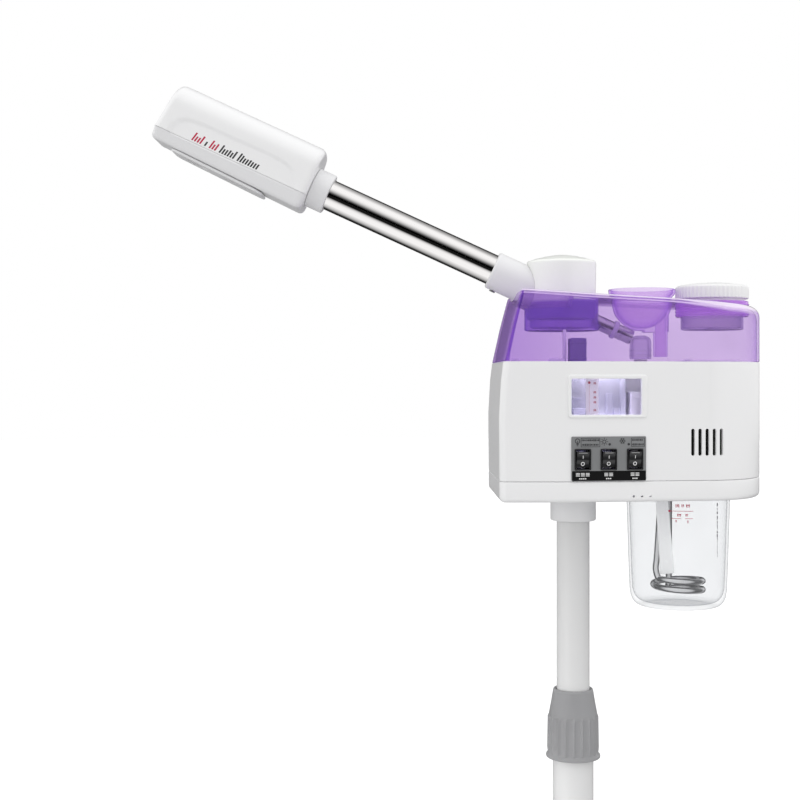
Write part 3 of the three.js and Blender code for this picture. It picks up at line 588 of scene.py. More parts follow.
# painted reflection bands on the coil, with low metallic so the bands show as colour
COIL_STEEL = metal("coil_steel", (0.60, 0.60, 0.61), 0.12, 0.0, (1, 1, 1), 0.05, 0.12, 0.000004, 120, painted_reflection_bands=[(0.0, (1.0, 1.0, 1.0)), (0.10, (0.80, 0.80, 0.81)), (0.24, (0.03, 0.03, 0.032)), (0.48, (0.05, 0.05, 0.052)), (0.66, (0.75, 0.75, 0.76)), (0.86, (0.10, 0.10, 0.10))], metallic=0.22)
SCREW = metal("screw_steel", (0.30, 0.30, 0.31), 0.3, 0.1, (1, 1, 1), 0.1, 0.2)
COVER = clear_plastic("lilac_cover_plastic", (0.924, 0.866, 0.967), (0.58, 0.40, 0.80), solid=0.05, rough=0.05, edge=0.75, deep=(0.60, 0.36, 0.86), power=6.0, grad=(-70, 70, (0.835, 0.742, 0.920)), painted_edge_light=True)
PURPLE = clear_plastic("purple_bowl_plastic", (0.948, 0.880, 0.985), (0.60, 0.32, 0.90), solid=0.07, rough=0.05, edge=0.75, deep=(0.70, 0.47, 0.93), power=3.0)
WELLP = clear_plastic("purple_well_plastic", (0.855, 0.755, 0.968), (0.42, 0.20, 0.85), solid=0.26, rough=0.07, edge=0.6, deep=(0.40, 0.20, 0.76), power=2.4)
VIOLET = clear_plastic("violet_thread_plastic", (0.955, 0.85, 1.0), (0.74, 0.36, 1.0), solid=0.34, rough=0.06, edge=0.8, deep=(0.84, 0.58, 1.0), power=2.4)
BASKET = clear_plastic("basket_plastic", (0.90, 0.855, 0.94), (0.66, 0.58, 0.80), solid=0.16, rough=0.2, edge=0.6, deep=(0.58, 0.50, 0.72), power=2.0)
WINDOW = clear_plastic("window_clear_plastic", (0.95, 0.94, 0.985), (0.80, 0.78, 0.90), solid=0.03, rough=0.05, edge=0.7, deep=(0.7, 0.66, 0.85))
TANK = clear_plastic("frosted_tank_plastic", (0.86, 0.85, 0.93), (0.80, 0.79, 0.89), solid=0.55, rough=0.35, edge=0.3, deep=(0.6, 0.58, 0.75), power=1.5)
GLASS = clear_plastic("jar_glass", (0.942, 0.945, 0.949), (0.90, 0.915, 0.93), solid=0.012, rough=0.02, edge=0.42, grain=24.0, flow=0.0001, deep=(0.60, 0.61, 0.625), power=9.0, var=0.012)
OUTLET = clear_plastic("outlet_glass", (0.90, 0.87, 0.94), (0.8, 0.78, 0.88), solid=0.03, rough=0.03, edge=0.9, grain=60.0, flow=0.0001, deep=(0.46, 0.34, 0.60), power=2.2)

# ------------------------------------------------------------------ body outline
OUT = []
_r = 8.0
OUT += arc(LEFT_X + _r, FACET_Y0 + _r, _r, 180, 270, 10)
for x in (-60, -40, -30, FACET_X0, -10, 0, 12, 25, 40, 55, 70, 85, 100, 113):
    OUT.append((x, front_at(x)))
_y0, _a = front_at(END_START), END_X - END_START
_b0, _b1, _e = END_Y - _y0, BACK_Y - END_Y, 2 / 1.85
for i in range(65):
    t = math.radians(-90 + 180 * i / 64)
    c, s = math.cos(t), math.sin(t)
    OUT.append((END_START + _a * max(0.0, c) ** _e, END_Y + (_b0 if s < 0 else _b1) * math.copysign(abs(s) ** _e, s)))
for x in (110, 95, 80, 65, 50, 35, 20, 5, -10, -25, -40, -55):
    OUT.append((x, BACK_Y))
OUT += arc(LEFT_X + _r, BACK_Y - _r, _r, 90, 180, 10)
for y in (60, 40, 20, 0, -20, -40, -60):
    OUT.append((LEFT_X, y))
N = len(OUT)
NORM = []
for i in range(N):
    a, b = OUT[i - 1], OUT[(i + 1) % N]
    dx, dy = b[0] - a[0], b[1] - a[1]
    l = math.hypot(dx, dy)
    NORM.append((dy / l, -dx / l))


def outline(inset, z):
    r = []
    for (x, y), (nx, ny) in zip(OUT, NORM):
        d = inset(x) if callable(inset) else inset
        X, Y = x - nx * d, y - ny * d
        Z = z(x) if callable(z) else z
        if x < 0:
            X *= left_at(Z) / LEFT_X
        r.append((X, Y, Z))
    return r


PHI = math.atan(FACET_SLOPE)
FACET = Matrix.Translation((25.5, front_at(25.5), 0)) @ Matrix.Rotation(PHI, 4, "Z")
# local x along the facet, local y up, local z out of the face
FACE = FACET @ Matrix(((1, 0, 0, 0), (0, 0, -1, 0), (0, 1, 0, 0), (0, 0, 0, 1)))


def fx(x):
    return (x - 25.5) / math.cos(PHI)


def frect(x0, x1, z0, z1, r=0.0, n=6):
    return rounded_rect(fx(x0), fx(x1), z0, z1, r, n) if r else [(fx(x0), z0), (fx(x1), z0), (fx(x1), z1), (fx(x0), z1)]


# ------------------------------------------------------------------ main casing
def shell_rings(zs, wall, lip=0.7):
    z0, z1 = zs[0], zs[-1]
    rings = [outline(lip, z0), outline(lip * 0.3, z0 + lip * 0.3), outline(0, z0 + lip)]
    rings += [outline(0, z) for z in zs[1:-1]]
    rings += [outline(0, z1 - lip), outline(lip * 0.3, z1 - lip * 0.3), outline(lip, z1)]
    rings += [outline(wall, z) for z in reversed(zs)]
    return rings


casing = loft("casing_shell", shell_rings([SEAM_LO, 835, 850, 870, 885, 894, 903, 912, 921, 930, SEAM_HI], WALL), loop=True)
cuts = [
    prism("c1", frect(-11, 60.3, 824.5, 864, 1.0), -8, 8, FACE),
    prism("c2", frect(-14, 61.5, 885.5, 924.5, 1.5), -8, 8, FACE),
]


def slot_cut(x, y, ang, w, z0, z1):
    X = Matrix.Translation((x, y, 0)) @ Matrix.Rotation(ang, 4, "Z") @ Matrix(((1, 0, 0, 0), (0, 0, -1, 0), (0, 1, 0, 0), (0, 0, 0, 1)))
    return prism("s", rounded_rect(-w, w, z0, z1, w * 0.98, 8), -9, 9, X)


VENTS = [(110.0, PHI), (117.3, PHI), (124.6, PHI + 0.03), (131.9, 0.27), (139.2, 0.42)]


def outline_y(x):
    best = None
    for i in range(N):
        a, b = OUT[i], OUT[(i + 1) % N]
        if a[1] < END_Y and (a[0] - x) * (b[0] - x) <= 0 and a[0] != b[0]:
            t = (x - a[0]) / (b[0] - a[0])
            y = a[1] + (b[1] - a[1]) * t
            best = y if best is None else min(best, y)
    return best


for x, ang in VENTS:
    cuts.append(slot_cut(x, outline_y(x), ang, 1.85, 845.9, 872.8))
BACK = Matrix.Translation((0, BACK_Y, 0)) @ Matrix(((1, 0, 0, 0), (0, 0, -1, 0), (0, 1, 0, 0), (0, 0, 0, 1)))
for i in range(6):
    cuts.append(prism("g", rounded_rect(62, 108, 868 + i * 6.5, 871 + i * 6.5, 1.45, 5), -9, 9, BACK))
cuts.append(prism("in", rounded_rect(-52.2, -27.8, 828.8, 847.2, 2.0, 4), -9, 9, BACK))
casing = boolean(casing, cuts)
casing = weighted(casing)
give(casing, WHITE, "machine", ["main_casing"])

# ------------------------------------------------------------------ lower tray
tz = TRAY_LO
rings = [outline(6.5, tz), outline(4.2, tz + 0.15), outline(2.6, tz + 0.8), outline(1.2, tz + 1.9), outline(0.35, tz + 3.4), outline(0, tz + 5.2)]
rings += [outline(0, 812), outline(0, SEAM_LO - 1.4), outline(0.4, SEAM_LO - 0.7), outline(1.0, SEAM_LO - 0.3)]
rings += [outline(WALL, SEAM_LO - 0.3), outline(WALL, tz + 4.5), outline(WALL + 1.8, tz + 2.7)]
tray = loft("tray_shell", rings)
cuts = [
    lathe("h", [(0, 790), (24, 790), (24, 812), (0, 812)], n=72),
    lathe("h", [(0, 790), (55.5, 790), (55.5, 806), (0, 806)], JAR_X, n=96),
]
for x in (50, 58.3, 66.6):
    X = Matrix.Translation((x, front_at(x), 806.6)) @ Matrix.Rotation(PHI, 4, "Z") @ Matrix.Rotation(math.pi / 2, 4, "X")
    cuts.append(lathe("h", [(0, -6), (1.25, -6), (1.25, 6), (0, 6)], n=16, xf=X))
tray = boolean(tray, cuts)
tray = weighted(tray)
give(tray, WHITE, "machine", ["lower_tray"])

# ------------------------------------------------------------------ camera, light, floor
cam_data = bpy.data.cameras.new("cam")
cam_data.sensor_width = 36.0
cam_data.lens = 36.0 * 1350.0 / 800.0
cam_data.shift_y = -20.0 / 800.0
cam_data.clip_start, cam_data.clip_end = 0.05, 60
cam = bpy.data.objects.new("cam", cam_data)
bpy.context.scene.collection.objects.link(cam)
cam.location = ((-180.0 + PX) / 1000.0, -1.404, 0.921)
cam.rotation_euler = (math.pi / 2, 0, 0)
bpy.context.scene.camera = cam

sc = bpy.context.scene
sc.view_settings.view_transform = "Standard"
sc.view_settings.look = "None"
sc.view_settings.exposure = 0.0

SKY = (0.875, 0.44, 0.17, 0.15)  # even part, then shares that grow upwards, to the right and to the front
world = bpy.data.worlds.new("studio")
sc.world = world
world.use_nodes = True
wn = world.node_tree
wn.nodes.clear()
wo = wn.nodes.new("ShaderNodeOutputWorld")
lp = wn.nodes.new("ShaderNodeLightPath")
bg_cam = wn.nodes.new("ShaderNodeBackground")
bg_cam.inputs[0].default_value = (1, 1, 1, 1)
bg_cam.inputs[1].default_value = 1.0
bg = wn.nodes.new("ShaderNodeBackground")
tc = wn.nodes.new("ShaderNodeTexCoord")
sep = wn.nodes.new("ShaderNodeSeparateXYZ")
wn.links.new(tc.outputs["Generated"], sep.inputs[0])
# studio: soft light from above and the front for matt surfaces; polished ones mirror a dark horizon under a bright ceiling


def w_range(value, lo, hi, a, b, smooth=True):
    n = wn.nodes.new("ShaderNodeMapRange")
    n.interpolation_type = "SMOOTHSTEP" if smooth else "LINEAR"
    n.inputs["From Min"].default_value, n.inputs["From Max"].default_value = lo, hi
    n.inputs["To Min"].default_value, n.inputs["To Max"].default_value = a, b
    wn.links.new(value, n.inputs["Value"])
    return n.outputs[0]


def w_math(op, a, b, c=None):
    n = wn.nodes.new("ShaderNodeMath")
    n.operation = op
    for k, v in enumerate((a, b, c)):
        if v is None:
            continue
        if isinstance(v, (int, float)):
            n.inputs[k].default_value = v
        else:
            wn.links.new(v, n.inputs[k])
    return n.outputs[0]


X_, Y_, Z_ = sep.outputs["X"], sep.outputs["Y"], sep.outputs["Z"]
front_sky = w_range(Z_, 0.10, 0.80, 0.0005, 1.24)
back_sky = w_range(Z_, 0.66, 1.0, 0.03, 0.86, False)
side = w_range(Y_, -0.30, 0.30, 0.0, 1.0)
flank = w_range(w_math("ABSOLUTE", X_, None), 0.22, 0.72, 0.0, 1.05)
glossy = w_math("ADD", w_math("MULTIPLY", front_sky, w_math("SUBTRACT", 1.0, side)), w_math("MULTIPLY", back_sky, side))
glossy = w_math("MAXIMUM", glossy, flank)
diffuse = w_math("MULTIPLY_ADD", Z_, SKY[1], SKY[0])
diffuse = w_math("MULTIPLY_ADD", X_, SKY[2], diffuse)
diffuse = w_math("MULTIPLY_ADD", Y_, -SKY[3], diffuse)
pick = wn.nodes.new("ShaderNodeMix")
pick.data_type = "FLOAT"
wn.links.new(lp.outputs["Is Glossy Ray"], pick.inputs[0])
wn.links.new(diffuse, pick.inputs[2])
wn.links.new(glossy, pick.inputs[3])
wn.links.new(pick.outputs[0], bg.inputs[1])
bg.inputs[0].default_value = (1.0, 1.0, 1.0, 1)
ms = wn.nodes.new("ShaderNodeMixShader")
wn.links.new(lp.outputs["Is Camera Ray"], ms.inputs[0])
wn.links.new(bg.outputs[0], ms.inputs[1])
wn.links.new(bg_cam.outputs[0], ms.inputs[2])
wn.links.new(ms.outputs[0], wo.inputs["Surface"])


def area(name, loc, target, sx, sy, power, color=(1, 1, 1)):
    d = bpy.data.lights.new(name, "AREA")
    d.shape, d.size, d.size_y, d.energy, d.color = "RECTANGLE", sx, sy, power, color
    o = bpy.data.objects.new(name, d)
    sc.collection.objects.link(o)
    o.location = loc
    o.rotation_euler = (Vector(target) - Vector(loc)).to_track_quat("-Z", "Y").to_euler()
    return o


mid = ((0 + PX) / 1000.0, 0.0, 0.92)
low = area("stand_left", (-1.1, -0.9, 0.28), ((0 + PX) / 1000.0, 0.0, 0.37), 0.4, 0.5, 0.22)
low.data.spread = math.radians(28)
low.data.use_shadow = True
low.visible_glossy = False
fill = area("left_fill", (-1.7, -0.15, 0.95), ((0 + PX) / 1000.0, 0.0, 0.90), 0.6, 0.6, 3.2)
fill.visible_glossy = False
ins = area("inside_front", ((24 + PX) / 1000.0, -0.0640, 0.9330), ((24 + PX) / 1000.0, -0.052, 0.90), 0.062, 0.010, 0.017)
ins2 = area("inside_front_low", ((24 + PX) / 1000.0, -0.0640, 0.8770), ((24 + PX) / 1000.0, -0.052, 0.905), 0.062, 0.010, 0.017)
ins2.visible_camera = False
ins2.visible_glossy = False
ins.visible_camera = False
ins.visible_glossy = False

fm, nt, out = new_mat("floor_white")
flp = node(nt, "ShaderNodeLightPath")
em = node(nt, "ShaderNodeEmission")
nt.links.new(map_range(nt, flp.outputs["Is Camera Ray"], 0.28, 0.80), em.inputs["Strength"])
df = node(nt, "ShaderNodeBsdfDiffuse")
df.inputs["Color"].default_value = (0.32, 0.32, 0.322, 1)
ad = node(nt, "ShaderNodeAddShader")
nt.links.new(em.outputs[0], ad.inputs[0])
nt.links.new(df.outputs[0], ad.inputs[1])
ftc = node(nt, "ShaderNodeTexCoord")
fln = node(nt, "ShaderNodeVectorMath", operation="LENGTH")
nt.links.new(ftc.outputs["Object"], fln.inputs[0])
far = node(nt, "ShaderNodeMapRange")
far.interpolation_type = "SMOOTHSTEP"
far.inputs["From Min"].default_value, far.inputs["From Max"].default_value = 1.1, 3.6
far.inputs["To Min"].default_value, far.inputs["To Max"].default_value = 1.22, 0.01
nt.links.new(fln.outputs["Value"], far.inputs["Value"])
eg = node(nt, "ShaderNodeEmission")
fsp = node(nt, "ShaderNodeSeparateXYZ")
nt.links.new(ftc.outputs["Object"], fsp.inputs[0])
behind = node(nt, "ShaderNodeMapRange")  # the floor darkens behind the stand, which gives polished tubes their dark lower edge
behind.inputs["From Min"].default_value, behind.inputs["From Max"].default_value = -0.30, 1.00
behind.inputs["To Min"].default_value, behind.inputs["To Max"].default_value = 1.0, 0.03
nt.links.new(fsp.outputs["Y"], behind.inputs["Value"])
fmu = node(nt, "ShaderNodeMath", operation="MULTIPLY")
nt.links.new(far.outputs[0], fmu.inputs[0])
nt.links.new(behind.outputs[0], fmu.inputs[1])
nt.links.new(fmu.outputs[0], eg.inputs["Strength"])
fmx = node(nt, "ShaderNodeMixShader")
nt.links.new(flp.outputs["Is Glossy Ray"], fmx.inputs[0])
nt.links.new(ad.outputs[0], fmx.inputs[1])
nt.links.new(eg.outputs[0], fmx.inputs[2])
nt.links.new(fmx.outputs[0], out.inputs["Surface"])
fme = bpy.data.meshes.new("floor")
seg = 96
fme.from_pydata([(20 * math.cos(2 * math.pi * i / seg), 20 * math.sin(2 * math.pi * i / seg), -0.0005) for i in range(seg)], [], [tuple(range(seg))])
floor = bpy.data.objects.new("floor", fme)
sc.collection.objects.link(floor)
fme.materials.append(fm)


# ------------------------------------------------------------------ translucent top cover
def roof_inset(x):
    return 3.0 if x < 95 else (12.0 if x > 150 else 3.0 + 9.0 * (x - 95) / 55)


def round_ring(t, extra=0.0):
    return outline(lambda x: extra + roof_inset(x) * (1 - math.cos(t)), lambda x: roof_at(x) - roof_inset(x) * (1 - math.sin(t)) - extra)


rings = [outline(0.5, COVER_LO), outline(0, COVER_LO + 0.5), outline(0, 948), outline(0, 956), outline(0, 965), outline(0, 974), outline(0, 983)]
rings += [round_ring(math.pi / 2 * i / 7) for i in range(8)]
rings_in = [outline(WALL, COVER_LO), outline(WALL, 948), outline(WALL, 956), outline(WALL, 965), outline(WALL, 974), outline(WALL, 983)]
rings_in += [round_ring(math.pi / 2 * i / 5, WALL) for i in range(6)]
cover = loft("cover_shell", rings)
cover_in = loft("cover_in", rings_in)
# the inner skin starts just below the rim, so the shell is open at the bottom
for v in cover_in.data.vertices:
    if abs(v.co.z * 1000 - COVER_LO) < 0.01:
        v.co.z -= 0.004
WELL_X = HUB_X


def bay(dz, dx):
    b = lathe("bay", [(0, 992.6 + dz), (28, 992.6 + dz), (31, 993.06 + dz), (80, 1015.6 + dz), (80, 1040), (0, 1040)], HUB_X, n=128)
    c = box("k", HUB_X + 3 + dx, 160, -120, 120, 940, 1060)
    return boolean(b, [c])


boolean(cover_in, [bay(-2.4, 2.2)])
boolean(cover, [cover_in, bay(0, 0)])
cover = boolean(cover, [
    lathe("h", [(0, 985), (38.55, 985), (38.55, 1030), (0, 1030)], HUB_X, n=128),
    lathe("h", [(0, 985), (31.4, 985), (31.4, 1030), (0, 1030)], BOWL_X, n=96),
    lathe("h", [(0, 985), (38.15, 985), (38.15, 1030), (0, 1030)], CAP_X, n=128),
])
give(cover, COVER, "machine", ["top_cover"])

# ------------------------------------------------------------------ steam well
T = ARM_TILT
ARM = Matrix.Translation((HUB_X, 0, ARM_Z)) @ Matrix.Rotation(T, 4, "Y")  # local -x runs up the arm, +z square to it
ALONG = ARM @ Matrix.Rotation(-math.pi / 2, 4, "Y")  # local z is the distance along the arm
PIPE_FROM = Vector((21.5, 0, 982.9))
PIPE_DIR = Vector((38.5, 0, -17.6)).normalized()
PIPE = Matrix.Translation(PIPE_FROM) @ PIPE_DIR.to_track_quat("Z", "Y").to_matrix().to_4x4()
wr, wi = 38.2, 36.5
prof = [(0, 972), (32, 972)] + arc(wr - 1.6, 973.6, 1.6, -90, 0, 5) + [(wr, 985), (wr, 1002.9), (wr - 0.5, 1003.5), (wi + 0.4, 1003.5), (wi, 1003.0), (wi, 984.4), (wi - 0.4, 984), (32.6, 984), (32.5, 983.8), (32.5, 976.2), (31.5, 975), (0, 975)]
well = lathe("well_cup", prof, HUB_X, n=128)
well = boolean(well, [
    box("k", -90, HUB_X + 3, -60, 60, 994.5, 1030),
    lathe("k", [(0, -8), (7.8, -8), (7.8, 30), (0, 30)], n=48, xf=PIPE),
])
give(well, WELLP, "machine", ["steam_well"])

# ------------------------------------------------------------------ hub knob, socket, tube
prof = [(33.2, 984.4), (34.2, 984.4), (34.7, 984.9), (34.9, 990), (35.4, 1012), (35.85, 1040.6)]
prof += arc(32.85, 1041.6, 3.0, 0, 66, 8) + [(32.2, 1044.9), (26, 1046.8), (18, 1048.7), (10, 1050.1), (4, 1050.8), (0, KNOB_TOP)]
prof += [(0, KNOB_TOP - 3), (9, 1047.4), (20, 1045.4), (30, 1042.6), (33, 1040), (33.2, 1034), (33.2, 984.4)]
knob = lathe("hub_cap", prof, HUB_X, n=160)
knob = boolean(knob, [lathe("k", [(0, 10), (20.0, 10), (20.0, 80), (0, 80)], n=96, xf=ALONG)])
give(knob, HUB_WHITE, "arm", ["hub_knob"])
ts = 16.0
sock = lathe("socket_sleeve", [(ts + 0.25, 29), (19.4, 29), (19.7, 30), (19.7, 76.8), (19.55, 77.8), (19.1, 78.6), (18.4, 79.15), (17.6, 79.3), (ts + 0.6, 79.3), (ts + 0.25, 78.8), (ts + 0.25, 29)], n=128, xf=ALONG)
sock = boolean(sock, [lathe("k", [(0, -30), (1.9, -30), (1.9, -10), (0, -10)], -70, 0, n=24, xf=ARM)])
give(sock, SHADE_WHITE, "arm", ["arm_socket"])
tube = lathe("steam_tube", [(ts - 1.2, 36), (ts, 36), (ts, 36.01), (ts, 150), (ts, 283.7), (ts - 0.3, 284), (ts - 1.2, 284), (ts - 1.2, 36)], n=160, xf=ALONG)
give(tube, CHROME, "arm", ["arm_tube"])
hexr = lathe("grub_screw", [(0, -21.0), (1.2, -21.0), (1.3, -20.2), (1.6, -20.2), (1.7, -21.0), (2.8, -21.0), (3.2, -20.6), (3.2, -20.1), (1.7, -20.0), (1.6, -16.5), (0, -16.4)], -70, 0, n=36, xf=ARM)
give(hexr, SCREW, "arm", ["socket_screw"])

# ------------------------------------------------------------------ head
FACET_LINE = [(437.9, -13.9), (437.6, -8.0), (436.3, -3.5), (432.5, 2.5), (428.1, 5.6), (420, 8.2), (410.4, 9.0), (374.5, 9.4), (340, 10.2), (322.9, 9.6), (312, 7.6), (305.4, 4.4), (300.5, -0.2), (296.2, -6.0), (293.4, -13.9)]


def seg_dist(p, a, b):
    ax, ay = a; bx, by = b; px, py = p
    dx, dy = bx - ax, by - ay
    t = max(0.0, min(1.0, ((px - ax) * dx + (py - ay) * dy) / (dx * dx + dy * dy)))
    return math.hypot(px - ax - t * dx, py - ay - t * dy)


def inside_facet(s, u):
    if u <= -13.9 or s < 293 or s > 438:
        return False
    n, c = len(FACET_LINE), False
    for i in range(n):
        (x1, y1), (x2, y2) = FACET_LINE[i], FACET_LINE[(i + 1) % n]
        if (y1 > u) != (y2 > u) and s < (x2 - x1) * (u - y1) / (y2 - y1) + x1:
            c = not c
    return c


def facet_depth(s, u):
    if not inside_facet(s, u):
        return 0.0
    d = min(seg_dist((s, u), FACET_LINE[i], FACET_LINE[i + 1]) for i in range(len(FACET_LINE) - 1))
    t = min(1.0, d / 2.6)
    return 1.25 * (t * t * (3 - 2 * t))


def head_section(s, half, top, bottom, rt, rb, lean=0.0, n=14, wall=False):
    """section of the head, from the bottom's middle round; rt and rb are the top and bottom corner radii"""
    pts = []
    hb = half - 4.0  # the lower shell draws in towards its bottom
    # right side upwards (v from 0), then mirrored
    side = []
    for i in range(9):
        side.append((hb - rb - (hb - rb) * (1 - i / 8), bottom))
    side += arc(hb - rb, bottom + rb, rb, -90, -12, 8)[1:]
    a, b = side[-1], (half, -13.0)
    for i in range(1, 6):
        side.append((a[0] + (b[0] - a[0]) * i / 5, a[1] + (b[1] - a[1]) * i / 5))
    z1 = max(top - rt, -8.0)
    for i in range(1, n + 6):
        side.append((half - 0.25 * (i / (n + 5)) ** 2, -13.0 + (z1 + 13.0) * i / (n + 5)))
    ex, ez = half - 0.25, z1
    for i in range(1, 15):
        t = math.pi / 2 * i / 14
        side.append((ex - rt * 1.05 * (1 - math.cos(t)), ez + (top - ez) * math.sin(t)))
    x_end = side[-1][0]
    for i in range(1, 9):
        side.append((x_end * (1 - i / 8), top + 0.6 * (1 - (1 - i / 8) ** 2)))
    full = side + [(-x, z) for x, z in reversed(side[1:-1])]
    out = []
    for y, z in full:
        ss = s - lean * z
        dd = facet_depth(ss, z) if (z > -13.5 and abs(y) > half - 3 and not wall) else 0.0
        yy = y - math.copysign(dd, y) if dd else y
        out.append((-ss, -yy, z))
    return out


def head_rings(d):
    R = []
    # (s, half, top, bottom, rt, rb)
    def bot(s):
        return -28.7 + 4.1 * (s - 290) / 162
    for i in range(7):
        t = math.pi / 2 * i / 6
        ins = 6.0 * (1 - math.sin(t))
        s = 284.6 + 6.0 * (1 - math.cos(t))
        R.append((s + d, 35 - ins - d, 38.9 - ins - d, bot(s) + ins * 0.8 + d, max(4, 22 - ins), 7, 0.0))
    for i in range(1, 54):
        f = i / 54
        s = 290.6 + (446.0 - 290.6) * f
        R.append((s, 35 - d, 38.9 - d, bot(s) + d, 22, 7, 0.112 * max(0.0, (f - 0.55) / 0.45) ** 1.5))
    for i in range(9):
        t = math.pi / 2 * i / 8
        ins = 6.5 * (1 - math.cos(t))
        s = 446.0 + 6.4 * math.sin(t)
        R.append((s - d, 35 - ins - d, 38.9 - ins - d, bot(s) + ins * 0.8 + d, max(4, 22 - ins), 7, 0.112))
    return R


def head_solid(name, d, wall=False):
    return loft(name, [head_section(s, h, t, b, rt, rb, lean, wall=wall) for s, h, t, b, rt, rb, lean in head_rings(d)], xf=ARM, angle=50)


NOZ = ARM @ Matrix.Translation((0, 0, -38.8)) @ Matrix.Rotation(0.0305, 4, "Y")


def head_half(name, upper):
    o = head_solid(name, 0.0)
    cuts = [head_solid("hin", 2.2, True), lathe("k", [(0, 262), (18.3, 262), (18.3, 300), (0, 300)], n=72, xf=ALONG)]
    if upper:
        cuts.append(box("k", -560, -200, -90, 90, -90, -12.85, xf=ARM))
    else:
        cuts.append(box("k", -560, -200, -90, 90, -13.15, 90, xf=ARM))
        cuts.append(prism("k", rounded_rect(-428, -334, -22, 22, 8, 8), -14, 22, NOZ))
    o = boolean(o, cuts, angle=40)
    return o


up = head_half("head_top", True)
up = weighted(up)
give(up, WHITE, "head", ["head_upper_shell"])
low = head_half("head_bottom", False)
low = weighted(low)
give(low, SHADE_WHITE, "head", ["head_lower_shell"])
collar = lathe("head_ring", [(ts + 0.2, 266.2), (16.6, 265.8), (19.4, 265.7), (20.2, 265.9), (20.7, 266.4), (20.9, 267.2), (20.9, 284.1), (18, 284.1), (18, 292), (20, 292.6), (20, 296), (ts + 0.2, 296), (ts + 0.2, 266.2)], n=128, xf=ALONG)
give(collar, SHADE_WHITE, "head", ["head_collar"])
plate = prism("nozzle_face", rounded_rect(-431, -327, -25, 25, 10, 10), -2.6, 0, NOZ, bevel=1.0, segs=4)
neck = prism("nk", rounded_rect(-427.6, -334.4, -21.6, 21.6, 8, 8), -0.5, 3.5, NOZ)
plate = boolean(plate, [neck], "UNION")
cuts = [lathe("k", [(0, -6), (13.6, -6), (12.4, -2.0), (11.4, 6), (0, 6)], -404, 0, n=72, xf=NOZ)]
for y in (-7.25, 0, 7.25):
    cuts.append(prism("k", rounded_rect(-372, -344, y - 1.75, y + 1.75, 1.7, 6), -6, 6, NOZ))
plate = boolean(plate, cuts)
give(plate, SHADE_WHITE, "head", ["nozzle_plate"])
# generic printed strokes where the maker's words were
random.seed(4)
marks_r, marks_b = [], []
GRAPH = ARM @ Matrix(((-1, 0, 0, 0), (0, 0, -1, 0), (0, 1, 0, 0), (0, 0, 0, 1)))


def stroke(s0, w, h, u0):
    # slanted bar printed on the side facet; s falls towards the arm
    k = 0.28
    return prism("m", [(s0, u0), (s0 - w, u0), (s0 - w + h * k, u0 + h), (s0 + h * k, u0 + h)], 33.62, 33.79, ARM @ Matrix(((-1, 0, 0, 0), (0, 0, -1, 0), (0, 1, 0, 0), (0, 0, 0, 1))) @ Matrix.Scale(1, 4))


def print_bar(s0, w, h, u0, k=0.22):
    pts = [(-s0, u0), (-s0 + w, u0), (-s0 + w + h * k, u0 + h), (-s0 + h * k, u0 + h)]
    verts, faces = [], []
    y0, y1 = -33.60, -33.80
    for y in (y0, y1):
        for x, z in pts:
            verts.append(tuple(ARM @ Vector((x, y, z))))
    faces = [(3, 2, 1, 0), (4, 5, 6, 7), (0, 1, 5, 4), (1, 2, 6, 5), (2, 3, 7, 6), (3, 0, 4, 7)]
    return make("m", verts, faces)


s = 413.0
for grp, col in (((6.6, 4.2, 4.2, 6.4), "r"), ((3.6,), "b"), ((6.6, 4.2, 5.6), "r"), ((6.6, 4.2, 4.4, 5.2, 4.2, 6.2), "b"), ((6.6, 5.6, 4.2, 4.4, 4.8, 4.2, 4.2, 4.2), "b")):
    for h in grp:
        (marks_r if col == "r" else marks_b).append(print_bar(s, 1.75, h * 1.36, -11.2))
        s -= 2.95
    s -= 2.3
give(join("print_red", marks_r), RED_INK, "head")
give(join("print_black", marks_b), BLACK_INK, "head")

# ------------------------------------------------------------------ mist bowl
def inset_ring(pts, inset, h):
    out = []
    n = len(pts)
    for i, p in enumerate(pts):
        a, b = pts[i - 1], pts[(i + 1) % n]
        dx, dy = b[0] - a[0], b[1] - a[1]
        l = math.hypot(dx, dy) or 1.0
        out.append((p[0] - dy / l * inset, p[1] + dx / l * inset, h))
    return out


def frame_ring(name, o, i, h0, h1, r, xf, segs=4):
    rings = [inset_ring(o, 0, h0)]
    for k in range(segs + 1):
        t = math.pi / 2 * k / segs
        rings.append(inset_ring(o, r * (1 - math.cos(t)), h1 - r * (1 - math.sin(t))))
    for k in range(segs + 1):
        t = math.pi / 2 * (segs - k) / segs
        rings.append(inset_ring(i, -r * (1 - math.cos(t)), h1 - r * (1 - math.sin(t))))
    rings.append(inset_ring(i, 0, h0))
    return loft(name, rings, loop=True, xf=xf)


def smooth_profile(pts, per=4):
    return [(max(0.0, p[0]), p[1]) for p in [(q[0], q[2]) for q in spline([(a, 0, b) for a, b in pts], per)]]


